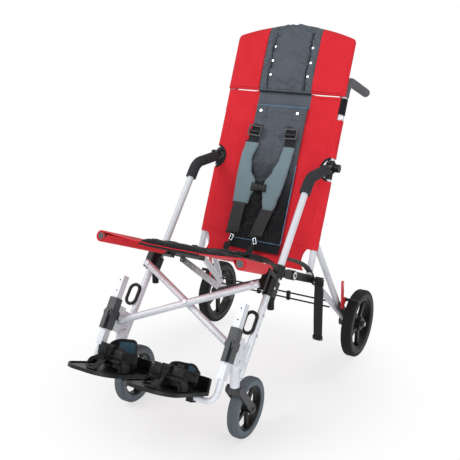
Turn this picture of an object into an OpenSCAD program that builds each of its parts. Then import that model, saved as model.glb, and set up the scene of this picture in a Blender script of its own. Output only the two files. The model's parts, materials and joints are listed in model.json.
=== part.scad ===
// Special needs buggy: tilted sling seat on a width-folding tube frame, with swivel casters,
// braked rear wheels and swing-away footrests. Millimetres, +Z up, the buggy faces -Y.

/* [Frame] */
// Half the spacing of the two side frames, from centre to tube axis
frame_half = 217; // [205:1:232]
// Outside diameter of the frame tubes
tube_d = 22.2; // [20:0.1:23]
// Wall of the frame tubes
tube_wall = 1.8; // [1.2:0.1:2.5]
// Tilt of the seat and the back, in degrees
tilt = 23.4; // [22.5:0.1:24.5]
// Lean of the legs and arm tubes from upright, in degrees
leg_lean = 40; // [39.5:0.1:40.5]
// Length of the back tubes up to the handle bend
back_length = 695; // [660:1:730]
// Length of the push handles behind the bend
handle_length = 189; // [160:1:220]
// Droop of the push handles, in degrees
handle_droop = 19.7; // [10:0.1:28]

/* [Seat] */
// Half the spacing of the seat tubes at the front
seat_front_half = 240; // [236:1:250]
// Length of the seat tubes
seat_length = 440; // [425:1:455]
// Diameter of the seat tubes
rail_d = 25; // [23:0.5:26]
// Height of the head panel at its corners
head_height = 198; // [170:1:230]

/* [Wheels] */
// Outside diameter of the rear wheels
rear_d = 250; // [240:1:254]
// Width of the rear tyres
rear_w = 38; // [32:1:40]
// Outside diameter of the casters
caster_d = 190; // [180:1:194]
// Width of the caster tyres
caster_w = 32; // [28:1:34]
// Trail of the casters
caster_trail = 70; // [60:1:74]
// Half the spacing of the rear wheels
track_half = 303; // [300:1:310]

/* [Footrests] */
// Width of a footplate
plate_w = 168; // [155:1:176]
// Length of a footplate
plate_l = 244; // [220:1:255]
// Toe-up angle of the footplates, in degrees
plate_tilt = 25; // [20:0.5:28]
// Lean of the footrest tubes from upright, in degrees
rest_lean = 36; // [34:0.5:38]

/* [Hidden] */
$fn = 48;
// Overrun of every cut
over = 1;
// Running clearance of round pins, and clear space between loose faces
fit = 0.06;
gap = 0.3;
tube_r = tube_d / 2;
rail_r = rail_d / 2;
// Shift along Y that centres the whole buggy
centre_y = 129.63;

// Leg frame origin, on the leg axis, and the offset of the arm tube behind the leg
leg_y = -314;
leg_z = 369;
arm_back = 26;
// Heights along the leg
leg_top = 91;
leg_foot = -190;
arm_low = 94;
arm_top = 489;
arm_bend_r = 60;
arm_run = 141;
// Caster head
caster_in = 7;
stem_y = -450;
stem_r = 6;
barrel_r = 15;
barrel_low = 200;
barrel_h = 46;
// Cross braces: height of their planes in front of the leg, pivots and ends
brace_a_off = 44;
brace_b_off = 68;
pivot_in = 19;
pivot_x = frame_half - pivot_in;
pivot_u = -125;
brace_end_in = 5;
brace_end_x = frame_half - brace_end_in;
brace_end_u = 82;
brace_over = 8;
bolt_r = 4;
bolt_head_r = 7;
bolt_head_h = 4;
washer_h = 1.5;
// Gusset plate at the leg foot
gusset_t = 8;
gusset_low = -166;
gusset_high = -92;
tab_t = 6.5;
tab_half = 13;

// Footrest: sleeve top, sleeve, flat tube and the bent rod that carries the plate
rest_y = -448;
rest_z = 387;
sleeve_x = 26;
sleeve_y = 33;
sleeve_h = 100;
rest_x = 20;
rest_yw = 27;
rest_wall = 2;
rest_up = 74;
rest_down = 150;
rod_r = 9;
rod_top = -128;
rod_low = -218;
rod_bend = 30;
rod_in = 147;
hinge_back = 29;
hinge_r = 5;
hinge_low = -84;
hinge_high = -16;
lug_r = 9;
lug_low = -62;
lug_high = -38;
lever_l = 52;
lever_w = 14;
lever_t = 6;
hole_r = 2.5;
hole_pitch = 34;
plate_mid = 17;
plate_in = frame_half - plate_w / 2 - plate_mid;
plate_y = rest_y + sin(rest_lean) * rod_low;
plate_z = rest_z + cos(rest_lean) * rod_low;
plate_t = 6;
plate_up = 12;
plate_rear = 44;
plate_corner = 34;
plate_toe = 60;
plate_rim = 4;
rim_h = 10;
heel_h = 46;
heel_l = 36;
clip_w = 20;
clip_half = 14;
clip_apart = 60;
strap_w = 74;
strap_r = 72;
strap_t = 9;
strap_rear = -4;
ankle_r = 60;
ankle_t = 8;
ankle_w = 42;

// Back: foot of the tube axis, and heights up the back
back_y = 48;
back_z = 412;
back_low = -45;
handle_bend_r = 45;
grip_r = 15.5;
grip_start = 20;
sling_low = 56;
sling_drop = 111;
sling_high = back_length - sling_drop;
sling_out = 12;
sling_half = frame_half + sling_out;
sling_t = 4;
sleeve_t = 2.6;
flap_low = -18;
flap_half = 150;
moon_drop = 9;
moon_r = 48;
pad_low = 52;
pad_high = 536;
pad_half = 97;
pad_t = 9;
pad_crown = 5;
head_drop = 107;
head_low = back_length - head_drop;
head_out = 10;
head_half = frame_half + head_out;
head_t = 12;
head_arch = 44;
head_puff = 7;
stay_r = 6.5;
stay_drop = 105;
stay_low = back_length - stay_drop;
stay_rise = 75;
stay_high = back_length + stay_rise;
// Harness heights and half widths on the back
vest_top = 396;
vest_low = 172;
vest_in = 50;
vest_out = 107;
vest_t = 7;
web_half = 12.5;
web_t = 2.5;
web_top = 530;
web_low = 66;
web_x = 74;
buckle_w = 44;
buckle_h = 30;
buckle_t = 12;
buckle_v = 236;
slide_w = 34;
slide_h = 16;
slide_t = 6;
slide_v = 436;

// Seat frame origin at the front caps
cap_y = -463;
cap_z = 590;
cap_l = 10;
cap_front = -16;
knuckle_along = 297;
knuckle_in = 27;
knuckle_half_x = frame_half - knuckle_in;
splay = (seat_front_half - knuckle_half_x) / knuckle_along;
sheet_t = 5;
seat_dip = 15;
seat_pad = 14;
notch_from = 262;
notch_half = 166;
seat_end = 520;

// Arm clamp and knob
arm_clamp_h = 34;
arm_clamp_r = 17;
foam_r = 18;
foam_start = 30;
knob_r = 14;
knob_h = 16;
knob_stem_r = 5;

// Knuckle, which slides on the arm tube, and the clamp below it
knuckle_low = 138;
knuckle_high = 178;
knuckle_r = 17;
boss_r = 16;
bracket_low = 70;
bracket_half = 10;
bracket_t = 11;
clamp_low = 70;
clamp_high = 124;
clamp_r = 16;
tail_r = 11;
tail_h = 46;
// Elbow block under the back tube
elbow_y = -20;
elbow_z = 398;
elbow_half = 76;
elbow_w = 25;
elbow_h = 27;
disc_r = 16;
disc_t = 27;
disc_reach = 92;
disc_clear = 7;

// Rear legs, axle and brake
strut_v = 84;
strut_in = 49;
strut_foot = [track_half - strut_in, 248, 180];
lower_head = [frame_half, 52, 372];
lower_in = 51;
lower_foot = [track_half - lower_in, 292, 136];
axle_y = 300;
axle_r = 6;
house_r = 21;
house_in = 236;
house_out = 278;
hanger_in = 263;
hanger_t = 9;
hanger_w = 34;
brake_y = 206;
brake_z = 219;
brake_pin_r = 5;
bar_y = 228;
bar_z = 240.5;
bar_r = 6;
bar_out = 330;
lever_up = 95;
lever_back = -6;
brake_arm_t = 7;
brake_arm_w = 16;
cable_r = 3;
cable_y = 205;
cable_high = 230;
cable_low = 208;
cable_half = 227.6;
cable_clip = 12;
cable_clip_x = 62;

// Wheels
rear_tread = 29;
rear_rim = 9;
rear_hub_r = 24;
rear_hub_half = 16;
spoke_w = 17;
spoke_t = 12;
nut_r = 11;
nut_h = 9;
stem_nut_r = 12;
caster_tread = 24;
caster_rim = 6;
caster_hub_r = 15;
caster_spoke_w = 12;
caster_spoke_t = 10;
edge_r = 9;
fork_t = 5;
fork_w = 26;
fork_gap = 4;
crown_h = 18;
crown_z = 179;
crown_r = 18;
crown_w = 22;
spokes = 5;

// Tie-down ring on the leg, and the hanging strap
ring_off = 18;
ring_u = -26;
ring_half = 22;
ring_straight = 15;
ring_bar = 8;
tether_w = 32;
tether_t = 3;
tether_y = 72;
tether_low = 150;
tether_high = 404;
tether_lead = 18;
tether_out = 40;
tether_end = 34;

// Folding lock links under the seat
link_end = 78;
link_along = seat_length - link_end;
link_drop = 24;
link_mid_drop = 96;
link_w = 20;
link_t = 8;
link_pin_r = 4;
link_hole_r = 3;
link_step = 22;
lug_half = 7;

// Frames: each puts its children in a local frame of the whole buggy
module whole() translate([0, centre_y, 0]) children();
module side(s) if (s > 0) children(); else mirror([1, 0, 0]) children();
module leg_frame() translate([0, leg_y, leg_z]) rotate([-leg_lean, 0, 0]) children();
module rest_frame() translate([0, rest_y, rest_z]) rotate([-rest_lean, 0, 0]) children();
module plate_frame() translate([0, plate_y, plate_z]) rotate([-plate_tilt, 0, 0]) children();
module back_frame() translate([0, back_y, back_z]) rotate([-tilt, 0, 0]) children();
module seat_frame() translate([0, cap_y, cap_z]) rotate([-tilt, 0, 0]) children();
module elbow_frame() translate([frame_half, elbow_y, elbow_z]) rotate([-tilt, 0, 0]) children();

// A point of the leg plane, given by its height along the leg and its offset in front
function leg_point(u, n) =
  [leg_y + u * sin(leg_lean) - n * cos(leg_lean), leg_z + u * cos(leg_lean) + n * sin(leg_lean)];
// A point up the back tube axis
function back_point(v) = [back_y + v * sin(tilt), back_z + v * cos(tilt)];
function turn(a, b, c) =
  let (u = b - a, w = c - b) atan2(u[0] * w[1] - u[1] * w[0], u[0] * w[0] + u[1] * w[1]);
function rail_x(y) = seat_front_half - splay * y;

// Straight pipe along +Z; a wall of zero gives a solid rod
module pipe(h, r, wall) {
  difference() {
    cylinder(h = h, r = r);
    if (wall > 0) translate([0, 0, -over]) cylinder(h = h + 2 * over, r = r - wall);
  }
}

// Straight rod between two points
module rod(p, q, r) {
  d = q - p;
  translate(p) rotate([0, acos(d[2] / norm(d)), atan2(d[1], d[0])]) cylinder(h = norm(d), r = r);
}

// Rod or pipe of the local XY plane through points a, b and c, bent at b.
// A pipe is made in three lengths with a seam between them; a rod is drawn in a little at the bend.
module bent(p, bend, r, wall) {
  d = (p[1] - p[0]) / norm(p[1] - p[0]);
  e = (p[2] - p[1]) / norm(p[2] - p[1]);
  sweep = turn(p[0], p[1], p[2]);
  heading = atan2(d[1], d[0]);
  reach = bend * tan(abs(sweep) / 2);
  seam = wall > 0 ? fit / 2 : 0;
  skip = seam / bend * 180 / PI * sign(sweep);
  c = p[1] - d * reach + sign(sweep) * bend * [-d[1], d[0]];
  translate([p[0][0], p[0][1], 0]) rotate([0, 0, heading]) rotate([0, 90, 0])
    pipe(norm(p[1] - p[0]) - reach - seam, r, wall);
  translate([c[0], c[1], 0]) rotate([0, 0, heading - sign(sweep) * 90 + skip])
    rotate_extrude(angle = sweep - 2 * skip) translate([bend, 0]) difference() {
      circle(wall > 0 ? r : r - gap);
      if (wall > 0) circle(r - wall);
    }
  translate([p[1][0] + e[0] * (reach + seam), p[1][1] + e[1] * (reach + seam), 0])
    rotate([0, 0, atan2(e[1], e[0])]) rotate([0, 90, 0])
    pipe(norm(p[2] - p[1]) - reach - seam, r, wall);
}

// Puts a drawing of the local XY plane in the YZ plane of the buggy
module upright() rotate([90, 0, 90]) children();

// Flat link with round ends between two points of the YZ plane, centred on X
module link(a, b, w, t) {
  d = b - a;
  upright() translate([a[0], a[1], -t / 2]) rotate([0, 0, atan2(d[1], d[0])]) {
    translate([0, -w / 2, 0]) cube([norm(d), w, t]);
    cylinder(h = t, r = w / 2);
    translate([norm(d), 0, 0]) cylinder(h = t, r = w / 2);
  }
}

// Cylinder along X, centred
module cross_pin(h, r) rotate([0, 90, 0]) cylinder(h = h, r = r, center = true);

// Closed sheet between two grids of points, both with rows of the same length
module sheet(top, low) {
  rows = len(top);
  cols = len(top[0]);
  n = rows * cols;
  at = function (r, c) r * cols + c;
  polyhedron(
    points = concat([for (r = top) each r], [for (r = low) each r]),
    faces = concat(
      [for (r = [0 : rows - 2], c = [0 : cols - 2]) each [
        [at(r, c), at(r + 1, c), at(r + 1, c + 1)],
        [at(r, c), at(r + 1, c + 1), at(r, c + 1)],
        [n + at(r, c), n + at(r + 1, c + 1), n + at(r + 1, c)],
        [n + at(r, c), n + at(r, c + 1), n + at(r + 1, c + 1)]]],
      [for (r = [0 : rows - 2]) each [
        [at(r, 0), n + at(r, 0), n + at(r + 1, 0)],
        [at(r, 0), n + at(r + 1, 0), at(r + 1, 0)],
        [at(r, cols - 1), at(r + 1, cols - 1), n + at(r + 1, cols - 1)],
        [at(r, cols - 1), n + at(r + 1, cols - 1), n + at(r, cols - 1)]]],
      [for (c = [0 : cols - 2]) each [
        [at(0, c), at(0, c + 1), n + at(0, c + 1)],
        [at(0, c), n + at(0, c + 1), n + at(0, c)],
        [at(rows - 1, c), n + at(rows - 1, c), n + at(rows - 1, c + 1)],
        [at(rows - 1, c), n + at(rows - 1, c + 1), at(rows - 1, c + 1)]]]),
    convexity = 4);
}

// Side frame
module leg_tube(s) {
  color("white") side(s) difference() {
    union() {
      leg_frame() translate([frame_half, 0, leg_foot]) cylinder(h = leg_top - leg_foot, r = tube_r);
      translate([frame_half - caster_in, stem_y, barrel_low]) cylinder(h = barrel_h, r = barrel_r);
      leg_frame() {
        translate([frame_half - gusset_t / 2, -brace_b_off - tab_half, gusset_low])
          cube([gusset_t, brace_b_off + tab_half, gusset_high - gusset_low]);
        translate([pivot_x - tab_half, -tab_n(s), pivot_u - tab_half])
          cube([frame_half - pivot_x + tab_half, tab_t, 2 * tab_half]);
      }
      rest_frame() {
        translate([frame_half, hinge_back, hinge_low]) cylinder(h = hinge_high - hinge_low, r = hinge_r);
        translate([frame_half - gusset_t / 2, hinge_back, hinge_low])
          cube([gusset_t, sleeve_y, hinge_high - hinge_low]);
      }
    }
    rest_frame() translate([frame_half, hinge_back, lug_low - gap])
      pipe(lug_high - lug_low + 2 * gap, lug_r + over, lug_r + over - hinge_r);
    translate([frame_half - caster_in, stem_y, barrel_low - over])
      cylinder(h = barrel_h + 2 * over, r = stem_r + fit);
    leg_frame() translate([pivot_x, over, pivot_u]) rotate([90, 0, 0])
      cylinder(h = brace_b_off, r = bolt_r + fit);
    leg_frame() translate([frame_half, 0, leg_foot + barrel_h])
      cylinder(h = leg_top - leg_foot, r = tube_r - tube_wall);
  }
}
// Front face of the brace tab: just behind the tube that pivots on it
function tab_n(s) = (s > 0 ? brace_a_off : brace_b_off) - tube_r - gap;

function arm_path() =
  let (top = leg_point(arm_top, -arm_back)) [leg_point(arm_low, -arm_back), top, top + [arm_run, 0]];

module arm_tube(s) {
  color("white") side(s) translate([frame_half, 0, 0]) upright()
    bent(arm_path(), arm_bend_r, tube_r, 0);
}

module arm_pad(s) {
  p = arm_path();
  t = arm_bend_r * tan(abs(turn(p[0], p[1], p[2])) / 2) + foam_start;
  start = p[1] - t * [sin(leg_lean), cos(leg_lean)];
  end = p[2] - [arm_clamp_r, 0];
  color("dimgray") side(s) translate([frame_half, 0, 0]) upright()
    bent([start, p[1], end], arm_bend_r, foam_r, foam_r - tube_r);
}

function handle_path() =
  let (bend = back_point(back_low + back_length))
  [back_point(back_low), bend, bend + handle_length * [cos(handle_droop), -sin(handle_droop)]];

module back_tube(s) {
  color("white") side(s) translate([frame_half, 0, 0]) upright()
    bent(handle_path(), handle_bend_r, tube_r, 0);
}

module push_grip(s) {
  p = handle_path();
  t = handle_bend_r * tan(abs(turn(p[0], p[1], p[2])) / 2) + grip_start;
  start = p[1] - t * [sin(tilt), cos(tilt)];
  color("gray") side(s) translate([frame_half, 0, 0]) {
    upright() bent([start, p[1], p[2]], handle_bend_r, grip_r, grip_r - tube_r);
    upright() translate([p[2][0], p[2][1], 0]) rotate([0, 0, -handle_droop]) rotate([0, 90, 0])
      cylinder(h = plate_rim, r = grip_r - gap);
  }
}

module arm_clamp(s) {
  p = arm_path();
  v = (p[2][1] - back_z) / cos(tilt);
  color("black") side(s) difference() {
    union() {
      back_frame() translate([frame_half, 0, v - arm_clamp_h / 2])
        cylinder(h = arm_clamp_h, r = arm_clamp_r);
      translate([frame_half, p[2][0] - arm_clamp_r + gap, p[2][1]]) rotate([-90, 0, 0])
        cylinder(h = 2 * arm_clamp_r, r = arm_clamp_r);
      translate([frame_half, back_point(v)[0], p[2][1]]) rotate([0, 90, 0])
        cylinder(h = arm_clamp_r + gap, r = arm_clamp_r / 2);
    }
    back_frame() translate([frame_half, 0, 0]) cylinder(h = back_length, r = tube_r);
    translate([frame_half, 0, 0]) upright() bent(arm_path(), arm_bend_r, tube_r, 0);
    translate([frame_half + tube_r, back_point(v)[0], p[2][1]]) rotate([0, 90, 0])
      cylinder(h = knob_h, r = knob_stem_r + fit);
  }
}

module arm_knob(s) {
  p = arm_path();
  v = (p[2][1] - back_z) / cos(tilt);
  color("black") side(s) translate([frame_half, back_point(v)[0], p[2][1]]) rotate([0, 90, 0]) {
    translate([0, 0, tube_r + gap]) cylinder(h = arm_clamp_r, r = knob_stem_r);
    translate([0, 0, arm_clamp_r + 2 * gap]) cylinder(h = knob_h, r = knob_r);
  }
}

module rail() seat_frame() rod([rail_x(cap_front + cap_l), cap_front + cap_l, 0],
  [rail_x(seat_length), seat_length, 0], rail_r);

module seat_tube(s) {
  color("silver") side(s) difference() {
    union() {
      rail();
      seat_frame() {
        rod([rail_x(cap_front), cap_front, 0], [rail_x(0), 0, 0], rail_r - gap);
        translate([rail_x(link_along), link_along, 0])
          translate([-lug_half, link_y(s), -link_drop - lug_half])
            cube([2 * lug_half, link_t, link_drop + lug_half]);
      }
    }
    seat_frame() translate([rail_x(link_along), 0, -link_drop]) rotate([-90, 0, 0])
      cylinder(h = seat_length, r = link_pin_r + fit);
    seat_frame() rod([rail_x(cap_l), cap_l, 0], [rail_x(seat_length + over), seat_length + over, 0],
      rail_r - tube_wall);
  }
}
// The two lock links lie one behind the other
function link_y(s) = s > 0 ? -link_t - gap : 0;

module knuckle(s) {
  n = tab_n(-s);
  color("black") side(s) difference() {
    union() {
      leg_frame() {
        translate([frame_half, arm_back, knuckle_low])
          cylinder(h = knuckle_high - knuckle_low, r = knuckle_r);
        translate([rail_x(knuckle_along) - boss_r, arm_back - boss_r, knuckle_low])
          cube([frame_half - rail_x(knuckle_along) + boss_r, 2 * boss_r, knuckle_high - knuckle_low]);
        translate([frame_half - bracket_half, -n, clamp_high + over])
          cube([2 * bracket_half, n + arm_back, knuckle_low - clamp_high + over]);
        translate([frame_half - bracket_half, -n, bracket_low])
          cube([2 * bracket_half, bracket_t, knuckle_low - bracket_low]);
      }
      elbow_frame() translate([-elbow_w / 2, -disc_reach - elbow_half, -elbow_h / 2])
        cube([elbow_w, elbow_half - disc_r - disc_clear, elbow_h]);
    }
    leg_frame() translate([frame_half, arm_back, clamp_high])
      cylinder(h = knuckle_high, r = tube_r + fit);
    rail();
    seat_frame() rod([rail_x(0), 0, 0], [rail_x(notch_from), notch_from, 0], rail_r + 2 * gap + sleeve_t);
  }
}

module leg_clamp(s) {
  color("black") side(s) difference() {
    leg_frame() {
      translate([frame_half, 0, clamp_low]) cylinder(h = clamp_high - clamp_low, r = clamp_r);
      translate([frame_half, arm_back, clamp_low]) cylinder(h = clamp_high - clamp_low, r = clamp_r);
      translate([frame_half - clamp_r, 0, clamp_low])
        cube([2 * clamp_r, arm_back, clamp_high - clamp_low]);
      translate([frame_half, arm_back, clamp_low + tail_r]) rotate([leg_lean, 0, 0])
        translate([0, 0, -tail_h]) cylinder(h = tail_h, r = tail_r);
    }
    leg_frame() translate([frame_half, 0, 0]) cylinder(h = leg_top, r = tube_r);
    leg_frame() translate([frame_half, arm_back, arm_low]) cylinder(h = arm_top, r = tube_r);
  }
}

module elbow_block() {
  elbow_frame() translate([-elbow_w / 2, -elbow_half, -elbow_h / 2])
    cube([elbow_w, 2 * elbow_half, elbow_h]);
}

module elbow(s) {
  color("black") side(s) difference() {
    union() {
      elbow_block();
      elbow_frame() translate([0, -disc_reach, 0]) cross_pin(disc_t, disc_r);
      elbow_frame() translate([-elbow_w / 2, -disc_reach, -disc_r / 2])
        cube([elbow_w, disc_r * 2, disc_r]);
    }
    back_frame() translate([frame_half, 0, back_low]) cylinder(h = back_length, r = tube_r);
  }
}

module rear_legs(s) {
  p = back_point(strut_v);
  color("white") side(s) difference() {
    union() {
      rod([frame_half, p[0], p[1]], strut_foot, tube_r);
      rod(lower_head, lower_foot, tube_r);
    }
    back_frame() translate([frame_half, 0, back_low]) cylinder(h = back_length, r = tube_r);
    elbow_block();
    hanger_body();
  }
}

module hanger_body() {
  translate([(house_in + house_out) / 2, axle_y, rear_d / 2]) cross_pin(house_out - house_in, house_r);
  translate([hanger_in + hanger_t / 2, 0, 0])
    link([axle_y, rear_d / 2], [brake_y, brake_z], hanger_w, hanger_t);
}

module axle_hanger(s) {
  color("dimgray") side(s) {
    difference() {
      hanger_body();
      translate([hanger_in, brake_y, brake_z]) cross_pin(4 * hanger_t, brake_pin_r + fit);
    }
    translate([(house_out + track_half + rear_w / 2 + nut_h) / 2, axle_y, rear_d / 2])
      cross_pin(track_half + rear_w / 2 + nut_h - house_out, axle_r);
    translate([track_half + rear_hub_half + gap + nut_h / 2, axle_y, rear_d / 2]) cross_pin(nut_h, nut_r);
  }
}

// Ring of a wheel about X: a tyre with rounded edges, or a plain rim
module tyre(r, tread, w) {
  rotate([0, 90, 0]) rotate_extrude() {
    translate([r - tread, -w / 2]) square([tread - edge_r, w]);
    translate([r - tread, edge_r - w / 2]) square([tread, w - 2 * edge_r]);
    translate([r - edge_r, edge_r - w / 2]) circle(edge_r);
    translate([r - edge_r, w / 2 - edge_r]) circle(edge_r);
  }
}

module spoked_hub(r, rim, w, hub_r, hub_half, spoke, thick, bore) {
  rotate([0, 90, 0]) difference() {
    union() {
      difference() {
        cylinder(h = w, r = r, center = true);
        cylinder(h = w + 2 * over, r = r - rim, center = true);
      }
      cylinder(h = 2 * hub_half, r = hub_r, center = true);
      for (i = [0 : spokes - 1]) rotate([0, 0, i * 360 / spokes])
        translate([hub_r / 2, -spoke / 2, -thick / 2]) cube([r - rim / 2 - hub_r / 2, spoke, thick]);
    }
    cylinder(h = 2 * (hub_half + over), r = bore, center = true);
  }
}

module at_rear_wheel() translate([track_half, axle_y, rear_d / 2]) children();

module rear_tyre(s) color("black") side(s) at_rear_wheel() tyre(rear_d / 2, rear_tread, rear_w);

module rear_hub(s) {
  color("dimgray") side(s) at_rear_wheel()
    spoked_hub(rear_d / 2 - rear_tread, rear_rim, rear_w - edge_r, rear_hub_r, rear_hub_half,
      spoke_w, spoke_t, axle_r + fit);
}

module brake_lever(s) {
  x = hanger_in + hanger_t + gap;
  color("red") side(s) {
    translate([x + brake_arm_t / 2, 0, 0]) {
      link([brake_y, brake_z], [bar_y, bar_z], brake_arm_w, brake_arm_t);
      link([brake_y, brake_z], [brake_y + lever_back, brake_z + lever_up], lever_w, lever_t);
    }
    translate([x + over, bar_y, bar_z]) rotate([0, 90, 0]) cylinder(h = bar_out - x - over, r = bar_r);
    translate([hanger_in, brake_y, brake_z]) rotate([0, 90, 0])
      cylinder(h = hanger_t + brake_arm_t, r = brake_pin_r);
  }
}

module at_caster() translate([frame_half - caster_in, stem_y, 0]) children();

module caster_fork(s) {
  half = caster_w / 2 + fork_gap;
  color("dimgray") side(s) at_caster() {
    translate([0, 0, crown_z]) cylinder(h = barrel_low - crown_z - gap, r = crown_r);
    translate([0, 0, crown_z]) cylinder(h = barrel_low - crown_z + barrel_h + nut_h, r = stem_r);
    translate([0, 0, barrel_low + barrel_h + gap]) cylinder(h = nut_h, r = stem_nut_r);
    translate([-half - fork_t / 2, -crown_w / 2, crown_z]) cube([2 * half + fork_t, crown_w, crown_h]);
    for (m = [-1, 1]) translate([m * (half + fork_t / 2), 0, 0])
      link([0, crown_z + crown_h / 2], [caster_trail, caster_d / 2], fork_w, fork_t);
    translate([0, caster_trail, caster_d / 2]) cross_pin(2 * half + 4 * fork_t, axle_r);
  }
}

module caster_tyre(s) {
  color("slategray") side(s) at_caster() translate([0, caster_trail, caster_d / 2])
    tyre(caster_d / 2, caster_tread, caster_w);
}

module caster_hub(s) {
  color("black") side(s) at_caster() translate([0, caster_trail, caster_d / 2])
    spoked_hub(caster_d / 2 - caster_tread, caster_rim, caster_w - edge_r, caster_hub_r,
      caster_w / 2 + fork_gap - gap, caster_spoke_w, caster_spoke_t, axle_r + fit);
}

module oval(r) {
  for (m = [-1, 1]) translate([0, m * ring_straight]) circle(r);
  translate([-r, -ring_straight]) square([2 * r, 2 * ring_straight]);
}

module tie_ring(s) {
  color("black") side(s) leg_frame() difference() {
    translate([frame_half - s * ring_off, -tube_r + over, ring_u]) rotate([90, 0, 0])
      linear_extrude(gusset_t) difference() {
        oval(ring_half);
        oval(ring_half - ring_bar);
      }
    translate([frame_half, 0, gusset_low]) cylinder(h = leg_top - gusset_low, r = tube_r);
  }
}

// Footrest
module rest_sleeve(s) {
  color("dimgray") side(s) rest_frame() difference() {
    union() {
      translate([frame_half - sleeve_x / 2, -sleeve_y / 2, -sleeve_h])
        cube([sleeve_x, sleeve_y, sleeve_h]);
      translate([frame_half, hinge_back, lug_low]) cylinder(h = lug_high - lug_low, r = lug_r);
      translate([frame_half - lug_r, 0, lug_low]) cube([2 * lug_r, hinge_back, lug_high - lug_low]);
      translate([frame_half, -sleeve_y / 2, -sleeve_h / 2]) rotate([90, 0, 0])
        cylinder(h = lever_t, r = knob_r);
      translate([frame_half - lever_w / 2, -sleeve_y / 2 - 2 * lever_t, -sleeve_h / 2 - lever_l])
        cube([lever_w, lever_t, lever_l + lever_w / 2]);
    }
    translate([frame_half - rest_x / 2 - gap, -rest_yw / 2 - gap, -sleeve_h - over])
      cube([rest_x + 2 * gap, rest_yw + 2 * gap, sleeve_h + 2 * over]);
    translate([frame_half, hinge_back, lug_low - over])
      cylinder(h = lug_high - lug_low + 2 * over, r = hinge_r + fit);
  }
}

module rest_tube(s) {
  color("white") side(s) rest_frame() {
    difference() {
      translate([frame_half - rest_x / 2, -rest_yw / 2, -rest_down])
        cube([rest_x, rest_yw, rest_down + rest_up]);
      translate([frame_half - rest_x / 2 + rest_wall, rest_wall - rest_yw / 2, rod_top])
        cube([rest_x - 2 * rest_wall, rest_yw - 2 * rest_wall, rest_up - rod_top + over]);
      for (i = [0, 1]) translate([frame_half, 0, rest_up - hole_pitch / 2 - i * hole_pitch])
        rotate([90, 0, 0]) cylinder(h = sleeve_y, r = hole_r, center = true);
    }
    rotate([90, 0, 0]) bent([[frame_half, rod_top], [frame_half, rod_low],
      [frame_half - rod_in, rod_low]], rod_bend, rod_r, 0);
  }
}

module plate_outline() {
  hull() for (x = [-1, 1]) {
    translate([x * (plate_w / 2 - plate_corner), plate_rear - plate_corner]) circle(plate_corner);
    translate([x * (plate_w / 2 - plate_toe), plate_rear - plate_l + plate_toe]) circle(plate_toe);
  }
}

module at_plate() translate([frame_half - plate_in, 0, 0]) children();

module footplate(s) {
  color("black") side(s) plate_frame() at_plate() {
    translate([0, 0, plate_up]) {
      linear_extrude(plate_t) plate_outline();
      linear_extrude(rim_h) difference() {
        plate_outline();
        offset(delta = -plate_rim) plate_outline();
      }
      intersection() {
        linear_extrude(heel_h) difference() {
          plate_outline();
          offset(delta = -plate_rim) plate_outline();
        }
        translate([-plate_w / 2, plate_rear - heel_l, 0]) cube([plate_w, heel_l, heel_h]);
      }
    }
    for (m = [-1, 1]) difference() {
      translate([m * clip_apart / 2 - clip_w / 2 + web_half, -clip_half, -clip_half])
        cube([clip_w, 2 * clip_half, clip_half + plate_up]);
      cross_pin(plate_w, rod_r + fit);
    }
  }
}

module arch(r, t, w) {
  rotate([90, 0, 0]) difference() {
    cylinder(h = w, r = r);
    translate([0, 0, -over]) cylinder(h = w + 2 * over, r = r - t);
    translate([-r - over, -2 * r, -over]) cube([2 * (r + over), 2 * r, w + 2 * over]);
  }
}

module foot_strap(s) {
  color("black") side(s) plate_frame() at_plate() translate([0, strap_rear, plate_up + plate_t]) {
    translate([0, -strap_w / 2, 0]) arch(strap_r, strap_t, strap_w);
    translate([0, ankle_w / 2 - plate_rim, 0]) arch(ankle_r, ankle_t, ankle_w);
  }
}

// Front cross brace: a straight tube from its lower pivot to the other side
module brace(s, n) {
  low = [s * pivot_x, -n, pivot_u];
  high = [-s * brace_end_x, -n, brace_end_u];
  d = (high - low) / norm(high - low);
  mid = low + d * (pivot_x / abs(d[0]));
  color("white") leg_frame() {
    rod(low - brace_over * d, high, tube_r);
    translate(low) rotate([90, 0, 0]) translate([0, 0, -tube_r - gap - tab_t])
      cylinder(h = 2 * tube_r + gap + tab_t + bolt_head_h, r = bolt_r);
    translate(low) rotate([90, 0, 0]) translate([0, 0, tube_r - over])
      cylinder(h = bolt_head_h + over, r = bolt_head_r);
    translate(high - 2 * brace_over * d) rotate([90, 0, 0])
      cylinder(h = tube_r + bolt_head_h, r = bolt_head_r);
    if (s < 0) translate(mid) rotate([90, 0, 0]) translate([0, 0, -tube_r - washer_h])
      cylinder(h = 2 * tube_r + washer_h + bolt_head_h, r = bolt_head_r);
  }
}
module brace_a() brace(1, brace_a_off);
module brace_b() brace(-1, brace_b_off);

// Two links under the seat that lock the frame open; they hang in a shallow V
module lock_link(s) {
  a = [rail_x(link_along), -link_drop];
  b = [0, -link_mid_drop];
  d = b - a;
  y = s > 0 ? -2 * (link_t + gap) : link_t + gap;
  color("silver") side(s) seat_frame() translate([a[0], link_along + y, a[1]]) rotate([-90, 0, 0])
    rotate([0, 0, -atan2(d[1], d[0])]) {
      difference() {
        union() {
          translate([0, -link_w / 2, 0]) cube([norm(d), link_w, link_t]);
          cylinder(h = link_t, r = link_w / 2);
          translate([norm(d), 0, 0]) cylinder(h = link_t, r = link_w / 2);
        }
        for (i = [1 : floor(norm(d) / link_step)]) translate([i * link_step, 0, -over])
          cylinder(h = link_t + 2 * over, r = link_hole_r);
      }
      translate([0, 0, s > 0 ? 0 : -link_t - 2 * gap])
        cylinder(h = 2 * (link_t + gap), r = link_pin_r);
    }
}

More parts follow.
